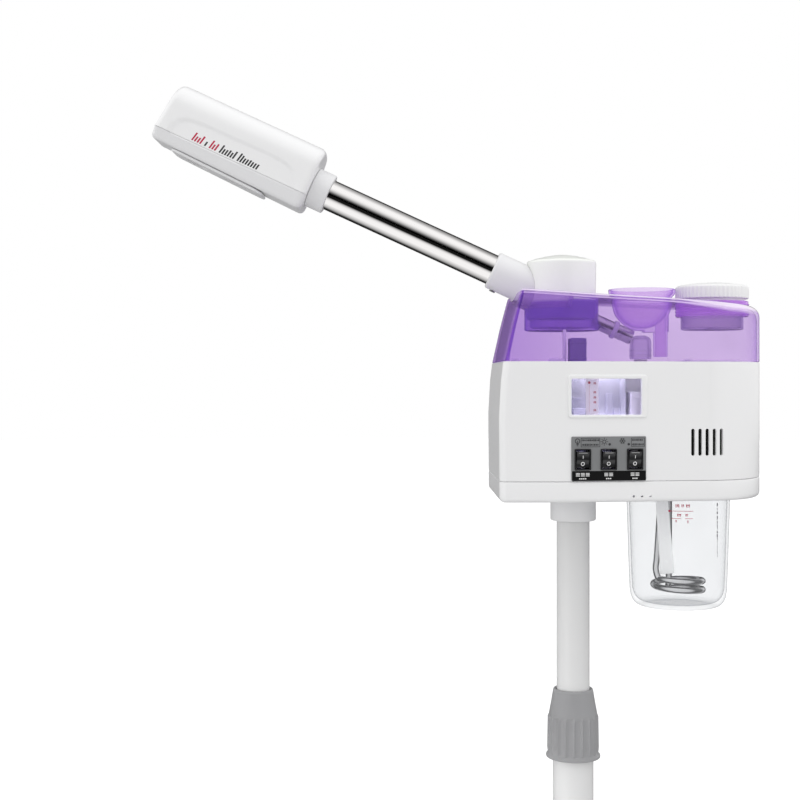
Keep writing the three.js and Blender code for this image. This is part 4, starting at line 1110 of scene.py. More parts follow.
outer = smooth_profile([(0, 972), (10, 973), (19.6, 979), (27.4, 988), (30.4, 997)], 6)[:-1]
prof = outer + [(30.6, 999), (30.6, 1005.4), (30.9, 1006.8), (33.4, 1009.2), (34.0, 1010.6), (34.4, 1013.6)] + arc(33.7, 1014.3, 0.7, 0, 90, 4)
prof += arc(32.7, 1014.3, 0.7, 90, 180, 4) + [(31.8, 1011.6), (31.2, 1010.2), (28.8, 1007.8), (28.2, 1006.4)]
inner = smooth_profile([(28.2, 999), (25.2, 989), (18.6, 981), (9, 975.6), (0, 974.6)], 6)
bowl = lathe("mist_cup", prof + inner, BOWL_X, n=128)
sump = prism("s", rounded_rect(73, 97.6, -12.4, 12.4, 3, 6), 970.6, 989.6, Matrix.Identity(4), bevel=0.8, segs=2)
scut = lathe("k", [(0, 973.8)] + list(reversed(smooth_profile([(29.1, 999), (26.1, 989), (19.4, 981), (9.5, 975.1), (0.0, 973.8)], 6)))[1:] + [(29.1, 1006), (0, 1006)], BOWL_X, n=96)
sump = boolean(sump, [scut])
bneck = lathe("s", [(0, 945), (6.6, 945), (7.4, 945.8), (7.4, 972), (0, 972)], 90.8, n=64)
bowl = boolean(bowl, [sump], "UNION")
bowl = boolean(bowl, [bneck], "UNION")
bowl = boolean(bowl, [lathe("k", [(0, 940), (5.4, 940), (5.4, 985), (0, 985)], 90.8, n=48)])
give(bowl, PURPLE, "bowl", ["mist_bowl"])

# ------------------------------------------------------------------ fill neck, cap, basket
prof = [(34.2, 986.5), (36.6, 986.5), (36.8, 986.9)]
for i in range(49):
    z = 987.6 + 13.6 * i / 48
    prof.append((36.85 + 0.95 * max(0.0, math.sin(2 * math.pi * (z - 987.6) / 3.4)) ** 1.3, z))
prof += [(36.8, 1002.0), (36.5, 1002.2), (34.5, 1002.2), (34.2, 1001.9), (34.2, 986.5)]
give(lathe("thread_neck", prof, CAP_X, n=144), VIOLET, "machine", ["fill_neck"])


def ribs(a, r, z):
    if r > 36.4 and 1005.4 < z < 1016.9:
        return 0.62 * (abs(math.cos(26 * a)) ** 3) - 0.1
    return 0.0


prof = [(31.2, 998), (33.0, 998), (33.4, 998.4), (33.4, 1004.8), (36.3, 1004.8), (36.7, 1005.1), (36.85, 1005.5), (36.9, 1006.2), (36.9, 1008), (36.9, 1012), (36.9, 1015.6), (36.75, 1016.6)]
prof += [(36.45, 1017.2), (35.9, 1017.9), (35.2, 1018.4), (33.8, 1018.9), (32.8, 1019.0), (32.3, 1018.9), (31.9, 1019.1), (30, 1019.5), (22, 1020.6), (12, 1021.5), (4, CAP_TOP), (0, CAP_TOP)]
prof += [(0, CAP_TOP - 3), (12, 1018.3), (28, 1016.4), (31.0, 1014.8), (31.2, 1013), (31.2, 998)]
capo = lathe("cap_cover", prof, CAP_X, n=416, wob=ribs)
give(capo, WHITE_SATIN, "cap", ["fill_cap"])

prof = [(0, 973), (30.2, 973), (31.2, 973.3), (31.7, 974.2), (31.8, 976), (31.8, 990.2), (33.2, 990.4), (33.6, 990.8), (33.6, 991.7), (33.2, 992), (30.4, 992), (30, 991.6), (30, 975.6), (29.4, 975), (0, 975)]
bask = lathe("basket", prof, CAP_X, n=120)
cuts = []
for k in range(12):
    X = Matrix.Translation((CAP_X, 0, 0)) @ Matrix.Rotation(k * math.pi / 6, 4, "Z")
    cuts.append(prism("k", rounded_rect(9 if k % 2 else 5, 26, -1.2, 1.2, 1.15, 4), 970, 978, X))
bask = boolean(bask, cuts)
give(bask, BASKET, "machine", ["strainer_basket"])

# ------------------------------------------------------------------ steam pipe, coupling, outlet, hose
prof = [(6, 0), (6.3, -0.0), (7.3, 0.0), (7.5, 0.3), (7.5, 30.2), (7.9, 30.7), (7.9, 32.0), (7.5, 32.5), (7.5, 42.5), (7.2, 43), (6.4, 43), (6, 42.6), (6, 0)]
give(lathe("pipe_tube", prof, n=72, xf=PIPE), PIPE_MAT, "machine", ["steam_pipe"])
prof = [(7.75, 21), (8.6, 21), (9.2, 21.5), (9.4, 22.2), (9.4, 24.8), (9.2, 25.5), (8.6, 26), (7.75, 26), (7.75, 21)]
give(lathe("pipe_ring", prof, n=72, xf=PIPE), PIPE_RING, "machine", ["pipe_coupling"])
prof = [(9.2, 942.8), (10.6, 942.8), (11, 943.2), (11, 958.5)] + arc(5.0, 960.5, 6.0, 5, 70, 6) + [(4.5, 967), (0, 967), (0, 965.2), (4, 965.1)] + arc(4.4, 960.2, 4.8, 75, 5, 5) + [(9.2, 957), (9.2, 942.8)]
outl = lathe("outlet_dome", prof, 70, n=72)
outl = boolean(outl, [lathe("k", [(0, -10), (7.75, -10), (7.75, 43.3), (0, 43.3)], n=48, xf=PIPE)])
rings_ = [lathe("k", [(11.0, z), (11.7, z + 0.35), (11.7, z + 0.9), (11.0, z + 1.25), (10.9, z)][:4] + [(11.0, z)], 70, n=72) for z in (946, 951)]
give(join("outlet_glass", [outl] + rings_), OUTLET, "machine", ["steam_outlet"])
hp = spline([(76, 0, 853), (76, 0, 872), (73, 0, 900), (70, 0, 925), (70, 0, 942.5)], 10)
hi_ = spline([(76, 0, 850), (76, 0, 872), (73, 0, 900), (70, 0, 925), (70, 0, 946)], 10)
hose = boolean(sweep("hose_tube", hp, lambda t: 6.4 + (0.35 if (t < 0.05 or t > 0.95) else 0), 32), [sweep("k", hi_, 4.4, 24)])
give(hose, RUBBER, "machine", ["steam_hose"])

# ------------------------------------------------------------------ inside the cover
deck = loft("deck_plate", [outline(WALL + 0.6, 934.5), outline(WALL + 0.6, 936.6), outline(WALL + 1.0, 937.0)])
cuts = [lathe("k", [(0, 925), (12, 925), (12, 950), (0, 950)], 70, n=64), lathe("k", [(0, 925), (9, 925), (9, 950), (0, 950)], 91, n=48), lathe("k", [(0, 925), (29.5, 925), (29.5, 950), (0, 950)], CAP_X - 2, n=96)]
deck = boolean(deck, cuts)
parts_ = [deck]
parts_.append(lathe("r", [(12, 936.5), (14, 936.5), (14, 938.6), (13.6, 939), (12.4, 939), (12, 938.6), (12, 936.5)], 70, n=64))
parts_.append(lathe("r", [(9, 936.5), (10.6, 936.5), (10.6, 938.6), (10.3, 939), (9.3, 939), (9, 938.6), (9, 936.5)], 91, n=48))
parts_.append(lathe("r", [(29.5, 936.5), (31.5, 936.5), (31.5, 940.4), (31, 941), (30, 941), (29.5, 940.4), (29.5, 936.5)], CAP_X - 2, n=96))
parts_.append(prism("r", rounded_rect(-30.5, -14.5, -52, -44, 2.5, 6), 936.5, 942.5, Matrix.Identity(4), bevel=1.6, segs=4))
for x in (-58, 28, 122):
    parts_.append(prism("r", rounded_rect(x - 0.9, x + 0.9, -60, 66 if x < 100 else 30, 0.8, 3), 936.5, 939.2, Matrix.Identity(4), bevel=0.5, segs=2))
for x, y in ((-66, -66), (-66, 72), (52, 70), (108, -56)):
    parts_.append(lathe("r", [(0, 936.5), (4.2, 936.5), (3.8, 941.2), (3.4, 941.6), (1.6, 941.6), (1.4, 941.2), (1.4, 938), (0, 938)], x, y, n=32))
give(join("deck_moulding", parts_), DECK, "machine", ["inner_deck"])
rl, rh = span("relay_box")
RX0, RX1 = rl[0] - PX, rh[0] - PX
parts_ = [prism("r", rounded_rect(RX0, RX1, -50, -30, 1.4, 4), 937.3, 963, Matrix.Identity(4), bevel=0.8, segs=3)]
parts_.append(prism("r", rounded_rect(RX0 + 2.5, RX1 - 2.5, -47.5, -32.5, 0.8, 3), 962.5, 963.4, Matrix.Identity(4), bevel=0.3, segs=2))
for z in (942.5, 957.5):
    parts_.append(box("r", RX0 - 0.35, RX1 + 0.35, -50.35, -29.65, z, z + 1.0, bevel=0.3))
give(join("relay_case", parts_), RELAY, "machine", ["relay_box"])
# stay between the deck and the well, left of the relay
stay = prism("well_stay", rounded_rect(RX0 - 6.2, RX0 - 3.2, -44, -36, 1.0, 4), 937.2, 971.8, Matrix.Identity(4), bevel=0.5, segs=2)
give(stay, DECK, "machine")

# ------------------------------------------------------------------ window
fo = frect(-16, 63.5, 883.8, 926.2, 3.2, 8)
fi = frect(-12.5, 57.6, 886.9, 922.2, 1.6, 8)
wf = frame_ring("window_bezel", fo, fi, -2.8, 1.4, 1.1, FACE, 5)
give(wf, WHITE, "machine", ["window_frame"])
pane = prism("pane", frect(-12.3, 57.4, 887.1, 922.0, 1.4, 6), -1.6, 0, FACE, bevel=0.35, segs=2)
give(pane, WINDOW, "machine", ["window_pane"])
strip = prism("scale_strip", frect(3.5, 16.2, 886.5, 922.5, 0.6, 3), -7.2, -6.0, FACE, bevel=0.2, segs=1)
give(strip, SCALE, "machine", ["level_scale"])


def mark(x0, x1, z0, z1, h=0.14, base=-6.0, r=0.0):
    pts = rounded_rect(fx(x0), fx(x1), z0, z1, r, 4) if r else [(fx(x0), z0), (fx(x1), z0), (fx(x1), z1), (fx(x0), z1)]
    return prism("m", pts, base - 0.05, base + h, FACE)


def dot(x, z, r, base, h=0.14, n=24, ring=None):
    X = FACE @ Matrix.Translation((fx(x), z, 0))
    if ring:
        return lathe("m", [(r - ring, base - 0.05), (r, base - 0.05), (r, base + h), (r - ring, base + h), (r - ring, base - 0.05)], n=n, xf=X)
    return lathe("m", [(0, base - 0.05), (r, base - 0.05), (r, base + h), (0, base + h)], n=n, xf=X)


ms_ = [dot(6.9, 918.4, 1.35, -6.0)]
for k in range(24):
    ms_.append(mark(6.7, 7.05, 889.4 + k * 1.13, 889.95 + k * 1.13))
for z in (917.6, 908.8, 903.7, 899.0, 891.2):
    for dx, w, h in ((0, 2.7, 0.5), (0.2, 0.55, 2.2), (1.9, 0.5, 2.2), (0.2, 2.2, 0.45)):
        zz = z - 1.1 + (0 if w < 1 else (0.8 if h > 0.46 else 1.9))
        ms_.append(mark(11.2 + dx, 11.2 + dx + w, zz, zz + h))
give(join("scale_marks", ms_), RED_INK, "machine")

# ------------------------------------------------------------------ cold water tank with what shows through the window
tank = prism("tank_out", rounded_rect(-70, 46, -60, 64, 5, 6), 842, 933.6, Matrix.Identity(4), bevel=2.0, segs=3)
tank = boolean(tank, [prism("k", rounded_rect(-67.8, 43.8, -57.8, 61.8, 4, 6), 844.2, 950, Matrix.Identity(4))])
rim = frame_ring("rim", rounded_rect(-71.4, 47.4, -61.4, 65.4, 6, 6), rounded_rect(-68.2, 44.2, -58.2, 62.2, 4, 6), 930.6, 934, 0.6, Matrix.Identity(4), 2)
parts_ = [tank, rim]
for x0, x1, z1, d in ((24.6, 31.0, 907.8, 6), (31.7, 38.5, 893.2, 4), (38.5, 44.4, 931, 3), (-9.0, 11.0, 893.0, 8)):
    parts_.append(prism("p", rounded_rect(x0, x1, -60 - d, -59.4, 1.2, 4), 862, z1, Matrix.Identity(4), bevel=0.6, segs=2))
parts_.append(prism("p", rounded_rect(-8.3, 0.4, -62.4, -59.6, 0.6, 3), 902.2, 903.4, Matrix.Identity(4), bevel=0.3, segs=2))
parts_.append(prism("p", rounded_rect(-14.5, -10.5, -64, -59.4, 1.2, 4), 862, 931, Matrix.Identity(4), bevel=0.6, segs=2))
give(join("tank_moulding", parts_), TANK, "machine", ["cold_water_tank"])
parts_ = [prism("p", rounded_rect(48.7, 60.4, -66, -40, 1.0, 4), 838, 909, Matrix.Identity(4), bevel=0.8, segs=2), prism("p", rounded_rect(50.2, 58.9, -66.7, -65.5, 0.5, 2), 845, 904, Matrix.Identity(4), bevel=0.3, segs=1), prism("p", rounded_rect(48.2, 66, -38, -36.4, 0.6, 3), 862, 931, Matrix.Identity(4), bevel=0.4, segs=1)]
give(join("window_side_column", parts_), INNER, "machine")

# ------------------------------------------------------------------ switch panel
po = frect(-12.7, 62, 822, 865.7, 1.2, 5)
panel = prism("panel_plate", po, -2.0, 1.5, FACE, bevel=0.5, segs=3)
cuts = [prism("k", frect(x - 7.6, x + 7.6, 833.3, 853.1, 0.8, 3), -6, 6, FACE) for x in (-1.7, 24.2, 50.6)]
panel = boolean(panel, cuts)
give(panel, PANEL, "machine", ["switch_panel"])
band = prism("panel_band", frect(-12.3, 61.6, 822.4, 832.0, 0.8, 4), 1.35, 1.62, FACE, bevel=0.08, segs=1)
give(band, PANEL_BLACK, "machine")
P0 = 1.5


def bar(x0, x1, z0, z1, base=P0, h=0.10):
    return mark(x0, x1, z0, z1, h, base)


dk_ = []
# lamp sign
dk_.append(dot(-6.9, 861.3, 2.6, P0, 0.1, 32, 0.75))
dk_.append(bar(-8.1, -5.7, 857.6, 858.4)); dk_.append(bar(-7.7, -6.1, 856.4, 857.1)); dk_.append(bar(-7.2, -6.6, 858.4, 861.6))
# box with rows of small bars, left
def text_box(x0, x1, z0, z1, rows, seed):
    rnd = random.Random(seed)
    t = 0.5
    out_ = [bar(x0, x1, z0, z0 + t), bar(x0, x1, z1 - t, z1), bar(x0, x0 + t, z0, z1), bar(x1 - t, x1, z0, z1)]
    for k in range(rows):
        zc = z1 - (z1 - z0) * (k + 0.5) / rows
        x = x0 + 1.0
        while x < x1 - 1.6:
            w = rnd.uniform(0.5, 1.5)
            hgt = 1.3 + 0.9 * rnd.random()
            out_.append(bar(x, min(x + w, x1 - 0.8), zc - hgt / 2, zc + hgt / 2))
            x += w + 0.45
    return out_


dk_ += text_box(-3.6, 15.6, 855.4, 864.3, 2, 3)
dk_ += text_box(46.7, 60.4, 855.6, 864.3, 2, 9)
# sun sign
dk_.append(dot(19.8, 860.6, 1.95, P0, 0.1, 32, 0.65))
for k in range(8):
    a = k * math.pi / 4
    X = FACE @ Matrix.Translation((fx(19.8), 860.6, 0)) @ Matrix.Rotation(a, 4, "Z")
    dk_.append(prism("m", [(2.5, -0.3), (3.8, -0.3), (3.8, 0.3), (2.5, 0.3)], P0 - 0.05, P0 + 0.1, X))
# snowflake sign
for k in range(6):
    a = k * math.pi / 3
    X = FACE @ Matrix.Translation((fx(38.1), 861.2, 0)) @ Matrix.Rotation(a, 4, "Z")
    dk_.append(prism("m", [(0.0, -0.28), (3.2, -0.28), (3.2, 0.28), (0.0, 0.28)], P0 - 0.05, P0 + 0.1, X))
    for sgn in (1, -1):
        Y = X @ Matrix.Translation((1.7, 0, 0)) @ Matrix.Rotation(sgn * 0.9, 4, "Z")
        dk_.append(prism("m", [(0.0, -0.24), (1.3, -0.24), (1.3, 0.24), (0.0, 0.24)], P0 - 0.05, P0 + 0.1, Y))
for x, z in ((25.2, 858.0), (44.3, 858.0)):
    dk_.append(dot(x, z, 1.25, P0, 0.12, 20))
give(join("panel_signs", dk_), BLACK_INK, "machine")
lt_ = []
for xc, widths in ((-1.7, (4.0, 3.8, 3.8)), (24.2, (3.8, 3.8)), (50.6, (3.8, 3.8))):
    tot = sum(widths) + 1.0 * (len(widths) - 1)
    x = xc - tot / 2
    for w in widths:
        for k in range(3):
            lt_.append(bar(x, x + w, 826.9 + k * 1.25, 827.55 + k * 1.25, 1.62, 0.06))
        x += w + 1.0
    n_ = len(widths) + 1
    x = xc - n_ * 0.95 + 0.2
    for k in range(n_):
        lt_.append(bar(x, x + 1.35, 823.9, 825.0, 1.62, 0.06))
        x += 1.9
give(join("panel_bars", lt_), INK, "machine")

# switches
SX = {"light": -1.7, "heat": 24.2, "mist": 50.6}
ZC = 843.2
prf = [(5, -6.4), (-1.6, -7.8), (-2.9, -0.6), (-4.5, 7.55), (5, 6.4)]
for key, x in SX.items():
    bz = frame_ring("bz", frect(x - 8.15, x + 8.15, ZC - 10.5, ZC + 10.5, 1.0, 4), frect(x - 6.65, x + 6.65, ZC - 9.45, ZC + 9.45, 0.5, 4), 1.2, 3.0, 0.55, FACE, 4)
    bd = frame_ring("bd", frect(x - 7.3, x + 7.3, ZC - 9.6, ZC + 9.6, 0.5, 4), frect(x - 6.65, x + 6.65, ZC - 9.45, ZC + 9.45, 0.5, 4), -12, 1.4, 0.1, FACE, 1)
    give(join("bezel_" + key, [bz, bd]), SWITCH, "machine", ["switch_%s_body" % key])
    # rocker: a shallow hollow on each half so that it catches light
    segs_ = []
    for (d0, h0), (d1, h1), sag in (((-1.6, -7.8), (-2.9, -0.6), 0.55), ((-2.9, -0.6), (-4.5, 7.55), 0.45)):
        for k in range(10):
            t = k / 10
            segs_.append((d0 + (d1 - d0) * t + sag * math.sin(math.pi * t) * (1 if t > 0 else 0), h0 + (h1 - h0) * t))
    segs_.append((-4.5, 7.55))
    side = [(5, -6.4)] + segs_ + [(5, 6.4)]
    X = FACE @ Matrix.Translation((fx(x), ZC, 0)) @ Matrix(((0, 0, 1, 0), (0, 1, 0, 0), (-1, 0, 0, 0), (0, 0, 0, 1)))
    rk = prism("rk", [(d, h) for d, h in side], -6.3, 6.3, X, bevel=0.45, segs=3, angle=40)
    give(rk, SWITCH, key + "_rocker", ["rocker_" + key])
    rk.name = "rocker_key_" + key
    # marks lie on the two faces
    def on_face(h):
        for (d0, h0), (d1, h1), sag in (((-1.6, -7.8), (-2.9, -0.6), 0.55), ((-2.9, -0.6), (-4.5, 7.55), 0.45)):
            if h0 <= h <= h1:
                t = (h - h0) / (h1 - h0)
                return -(d0 + (d1 - d0) * t + sag * math.sin(math.pi * t))
        return 2.9

    mk = []
    def quad(u0, u1, h0, h1):
        vs = []
        for lift in (-0.06, 0.1):
            for u, h in ((u0, h0), (u1, h0), (u1, h1), (u0, h1)):
                vs.append(tuple(FACE @ Vector((fx(x) + u, ZC + h, on_face(h) + lift))))
        return make("m", vs, [(3, 2, 1, 0), (4, 5, 6, 7), (0, 1, 5, 4), (1, 2, 6, 5), (2, 3, 7, 6), (3, 0, 4, 7)])
    mk.append(quad(-0.28, 0.28, 1.0, 4.0))
    mk.append(quad(-4.2, 4.2, 6.35, 6.62))
    vs, fs, n = [], [], 28
    for k in range(n):
        a = 2 * math.pi * k / n
        for rr, lift in ((1.25, -0.06), (1.9, -0.06), (1.9, 0.1), (1.25, 0.1)):
            h = -4.2 + rr * math.sin(a)
            vs.append(tuple(FACE @ Vector((fx(x) + rr * math.cos(a), ZC + h, on_face(h) + lift))))
    for k in range(n):
        a0, b0 = 4 * k, 4 * ((k + 1) % n)
        for q in range(4):
            fs.append((a0 + q, b0 + q, b0 + (q + 1) % 4, a0 + (q + 1) % 4))
    mk.append(make("m", vs, fs))
    give(join("rocker_marks_" + key, mk), INK, key + "_rocker")

# ------------------------------------------------------------------ glass jar
jr = 53.1
prof = [(0, JAR_LO + 1.2), (24, JAR_LO + 1.2), (34, JAR_LO + 0.4), (36.5, JAR_LO - 0.0)] + smooth_profile([(36.5, JAR_LO + 0.0), (41.6, 688.4), (45.9, 691.8), (48.4, 697.5), (49.6, 705)], 5)[1:]
prof += [(50.6, 730), (51.7, 765), (52.7, 795), (53.0, 815), (jr, 840), (jr, 846.6), (52.6, 847.7), (51.8, 848), (50.9, 847.7), (50.5, 846.6), (50.4, 815), (50.1, 795), (49.1, 765), (48.0, 730), (47.0, 708)]
prof += smooth_profile([(47.0, 706), (45.4, 699.8), (42.2, 694.9), (37.6, 692.2), (31, 691.2)], 5)[1:] + [(20, 691.0), (0, 690.8)]
jar = lathe("jar_body", prof, JAR_X, n=160)
give(jar, GLASS, "jar", ["glass_jar"])


def jar_r(z):
    pts = [(699, 48.2), (706, 49.6), (730, 50.6), (765, 51.7), (795, 52.7), (815, 53.0), (848, 53.1)]
    for (z0, r0), (z1, r1) in zip(pts, pts[1:]):
        if z <= z1:
            return r0 + (r1 - r0) * (z - z0) / (z1 - z0)
    return 53.1


def jar_mark(x0, x1, z0, z1, lift=0.12, n=6):
    """thin print wrapped on the jar's front, x and z as seen from the front"""
    vs, fs = [], []
    cols = []
    for k in range(n + 1):
        x = x0 + (x1 - x0) * k / n
        col = []
        for z in (z0, z1):
            r = jar_r(z)
            th = math.asin(max(-1, min(1, (x - JAR_X) / r)))
            for l in (-0.02, lift):
                col.append((JAR_X + (r + l) * math.sin(th), -(r + l) * math.cos(th), z))
        cols.append(col)
    for c in cols:
        vs += c
    for k in range(n):
        a, b = 4 * k, 4 * (k + 1)
        fs += [(a, b, b + 1, a + 1), (a + 1, b + 1, b + 3, a + 3), (a + 3, b + 3, b + 2, a + 2), (a + 2, b + 2, b, a)]
    fs += [(0, 1, 3, 2), (4 * n, 4 * n + 2, 4 * n + 3, 4 * n + 1)]
    return make("m", vs, fs)


def jar_dot(x, z, r, lift=0.14, n=24):
    vs, fs = [], []
    for l in (-0.02, lift):
        for k in range(n):
            a = 2 * math.pi * k / n
            xx, zz = x + r * math.cos(a), z + r * math.sin(a)
            rr = jar_r(zz) + l
            th = math.asin((xx - JAR_X) / rr)
            vs.append((JAR_X + rr * math.sin(th), -rr * math.cos(th), zz))
    fs = [tuple(range(n)), tuple(reversed(range(n, 2 * n)))] + [(k, (k + 1) % n, n + (k + 1) % n, n + k) for k in range(n)]
    return make("m", vs, fs)


rm = [jar_dot(90.3, 789.6, 1.05), jar_mark(91.6, 113.6, 789.35, 789.85), jar_mark(92.4, 101.4, 781.9, 782.35), jar_mark(105.4, 113.4, 781.9, 782.35)]
for x0, n_, z0, hh in ((96.2, 3, 793.4, 3.2), (102.0, 2, 793.6, 3.0), (106.6, 3, 793.4, 3.2), (98.0, 3, 784.2, 2.8), (106.0, 2, 784.4, 2.4), (96.4, 1, 778.4, 2.4), (108.0, 1, 777.6, 3.0)):
    for k in range(n_):
        x = x0 + 1.35 * k
        rm += [jar_mark(x - 0.05, x + 0.6, z0, z0 + hh), jar_mark(x - 0.3, x + 1.1, z0 + hh * 0.62, z0 + hh * 0.62 + 0.5)]
        if k % 2 == 0:
            rm.append(jar_mark(x - 0.15, x + 1.0, z0 + 0.1, z0 + 0.6))
give(join("jar_level_marks", rm), RED_INK, "jar")
dm = []
z, rnd = 797.0, random.Random(12)
while z > 743:
    L = rnd.uniform(1.8, 5.2) * (0.5 if z < 760 else 1)
    w = rnd.uniform(0.6, 1.3) * (0.55 if z < 765 else 1)
    xx = 139.9 + (797 - z) * 0.012
    dm.append(jar_mark(xx - w / 2, xx + w / 2, z - L, z, n=2))
    z -= L + rnd.uniform(0.6, 2.2)
give(join("jar_side_marks", dm), GREY_INK, "jar")

hold = lathe("holder_ring", [(0, 856), (57.2, 856), (58.6, 855.2), (59.3, 853.6), (59.5, 851.5), (59.3, 840), (59, 826.6), (58.4, 826), (54.8, 826), (54.3, 826.5), (54.3, 850.4), (53.6, 851), (0, 851)], JAR_X, n=120)
hold = boolean(hold, [
    lathe("k", [(0, 846), (4.4, 846), (4.4, 862), (0, 862)], JAR_X - 15.3, -3, n=32),
    lathe("k", [(0, 846), (3.8, 846), (3.8, 862), (0, 862)], JAR_X - 7.5, 9, n=32),
    lathe("k", [(0, 846), (7, 846), (7, 862), (0, 862)], 76, 0, n=40),
    lathe("k", [(0, 846), (9, 846), (9, 862), (0, 862)], JAR_X + 30, 0, n=48),
])
rib_ = []
for k in range(12):
    X = Matrix.Translation((JAR_X, 0, 0)) @ Matrix.Rotation(k * math.pi / 6, 4, "Z")
    rib_.append(prism("r", rounded_rect(30, 56, -0.9, 0.9, 0.8, 3), 855.6, 858.6, X, bevel=0.4, segs=2))
give(join("holder_moulding", [hold] + rib_), DECK, "machine", ["jar_holder"])
gz0, gz1 = span("jar_gasket")[0][2], span("jar_gasket")[1][2]
gm = (gz0 + gz1) / 2
gprof = [(48.5, gz0 + 0.4), (49.0, gz0), (52.9, gz0), (53.4, gz0 + 0.4), (53.4, gm - 0.25), (53.05, gm), (53.4, gm + 0.25), (53.4, gz1 - 0.4), (52.9, gz1), (49.0, gz1), (48.5, gz1 - 0.4), (48.5, gz0 + 0.4)]
give(lathe("gasket_ring", gprof, JAR_X, n=120), RUBBER, "machine", ["jar_gasket"])

# ------------------------------------------------------------------ heating coil and level strip
cp = [(-15, -3, 857), (-16.4, -3, 835), (-18.5, -3, 800), (-21, -3.5, 760), (-22.8, -5, 738), (-24.6, -8.5, 726)]
for i in range(41):
    a = math.pi * (1.15 + i / 40 * 3.4)
    cp.append((25 * math.cos(a), 25 * math.sin(a), 716.5 - i / 40 * 9 * 1.7))
cp += [(-7.3, 19.5, 701.6), (-7.5, 13, 706), (-7.5, 9.6, 716), (-7.5, 9, 735), (-7.5, 9, 770), (-7.5, 9, 800), (-7.5, 9, 857)]
cp = spline([(JAR_X + x, y, z) for x, y, z in cp], 5)
coil = sweep("coil_tube", cp, 3.2, 24)
ends = []
for x, y in ((JAR_X - 15.05, -3.0), (JAR_X - 7.5, 9)):
    ends.append(lathe("n", [(3.1, 851.2), (4.3, 851.2), (4.3, 855.8), (3.1, 855.8), (3.1, 851.2)][:4] + [(3.1, 851.2)], x, y, n=6, angle=20))
give(join("coil_heater", [coil] + ends), COIL_STEEL, "machine", ["heater_coil"])
SX_ = Matrix.Translation((JAR_X - 12.8, -9, 721)) @ Matrix.Rotation(-0.078, 4, "Y") @ Matrix(((1, 0, 0, 0), (0, 0, -1, 0), (0, 1, 0, 0), (0, 0, 0, 1)))
so = [(-7.2 + 1.5, 0), (7.2 - 1.5, 0), (7.2 - 0.4, 0.4), (7.2, 1.5), (5.5, 129), (-5.5, 129), (-7.2, 1.5), (-7.2 + 0.4, 0.4)]
strip = prism("strip_plate", so, 0, 2, SX_, bevel=0.5, segs=3)
lips = [prism("s", [(-6.6 + 0.0, 3), (-5.9, 3), (-4.4, 127), (-5.05, 127)], 1.9, 2.6, SX_), prism("s", [(5.9, 3), (6.6, 3), (5.05, 127), (4.4, 127)], 1.9, 2.6, SX_)]
for k in range(5):
    lips.append(lathe("s", [(0, 1.9), (1.3, 1.9), (1.1, 2.5), (0, 2.6)], n=20, xf=SX_ @ Matrix.Translation((0, 12 + 24 * k, 0))))
give(join("level_strip", [strip] + lips), STRIP, "machine", ["level_probe"])

# ------------------------------------------------------------------ poles, collet, clamp nut, socket
prof = [(17.35, 776.3), (18.2, 775.5), (22.1, 775.5), (23.0, 775.9), (23.5, 776.8), (23.5, 803.4), (24.0, 803.8), (39.4, 803.8), (40, 804.4), (40, 806.9), (39.4, 807.5)]
prof += [(27.5, 809.2), (25.2, 811), (24.6, 813), (24.0, 827.2), (23.3, 828), (17.8, 828), (17.35, 827.4), (17.35, 776.3)]
socket = lathe("socket_ring", prof, n=120)
give(socket, SHADE_WHITE, "machine", ["pole_socket"])
ul, uh = span("upper_pole")
u0, u1 = ul[2], uh[2]
give(lathe("mast_tube", [(15.6, u0 + 0.5), (16.0, u0), (16.6, u0), (17, u0 + 0.5), (17, 400), (17, 500), (17, 600), (17, 700), (17, u1 - 0.5), (16.6, u1), (16.0, u1), (15.6, u1 - 0.5), (15.6, u0 + 0.5)], n=120), STAND, "mast", ["upper_pole"])
ll, lh = span("lower_pole")
l0, l1 = ll[2], lh[2]
give(lathe("stand_tube", [(19.5, l0 + 0.5), (19.9, l0), (20.5, l0), (21, l0 + 0.6), (21, 200), (21, 330), (21, 460), (21, l1 - 0.6), (20.5, l1), (19.9, l1), (19.5, l1 - 0.5), (19.5, l0 + 0.5)], n=120), STAND, "stand", ["lower_pole"])
col = lathe("collet_tube", [(17.4, 550.6), (17.8, 550), (18.8, 550), (19.2, 550.6), (19.2, 574.3), (20.3, 574.3), (20.7, 574.7), (20.7, 577), (19.4, 584.5), (18.2, 591.4), (17.9, 592), (17.6, 592), (17.4, 591.6), (17.4, 550.6)], n=96)
col = boolean(col, [prism("k", [(15, -0.6), (24, -0.6), (24, 0.6), (15, 0.6)], 572, 595, Matrix.Rotation(k * math.pi / 3, 4, "Z")) for k in range(6)])
give(col, NYLON, "stand", ["pole_collet"])


def flutes(a, r, z):
    if r > 24.5 and 534.8 < z < 574.5:
        t = min(1.0, max(0.0, (574.5 - z) / 3.2)) * min(1.0, max(0.0, (z - 534.8) / 1.0))
        c = 0.5 + 0.5 * math.cos(19 * a)
        return (1.15 * c ** 5 - 0.75 * (1 - c) ** 0.8) * (t * t * (3 - 2 * t))
    return 0.0


prof = [(21.6, 530), (26.9, 529.9), (27.7, 530.2), (28.0, 531.0), (28.0, 532.0), (27.7, 532.8), (26.6, 533.6), (25.9, 534.6), (25.8, 535.3)]
prof += [(25.8 - 0.6 * k / 12, 536.2 + k * 3.0) for k in range(1, 12)] + [(25.2, 571.4), (25.15, 572.6), (25.1, 573.6), (25.0, 574.6), (24.9, 575.4)]
prof += [(24.3, 578.5), (22.9, 586), (21.6, 593.5), (20.95, 597.6), (20.65, 599.3), (20.2, 600.4), (19.6, 600.9), (18.9, 601), (18.2, 600.6), (17.6, 599.6), (17.5, 597), (18.8, 596), (21.6, 577.5), (21.6, 530)]
nutp = lathe("nut_body", prof, n=380, wob=flutes, angle=40)
give(nutp, NUT, "clamp", ["clamp_nut"])

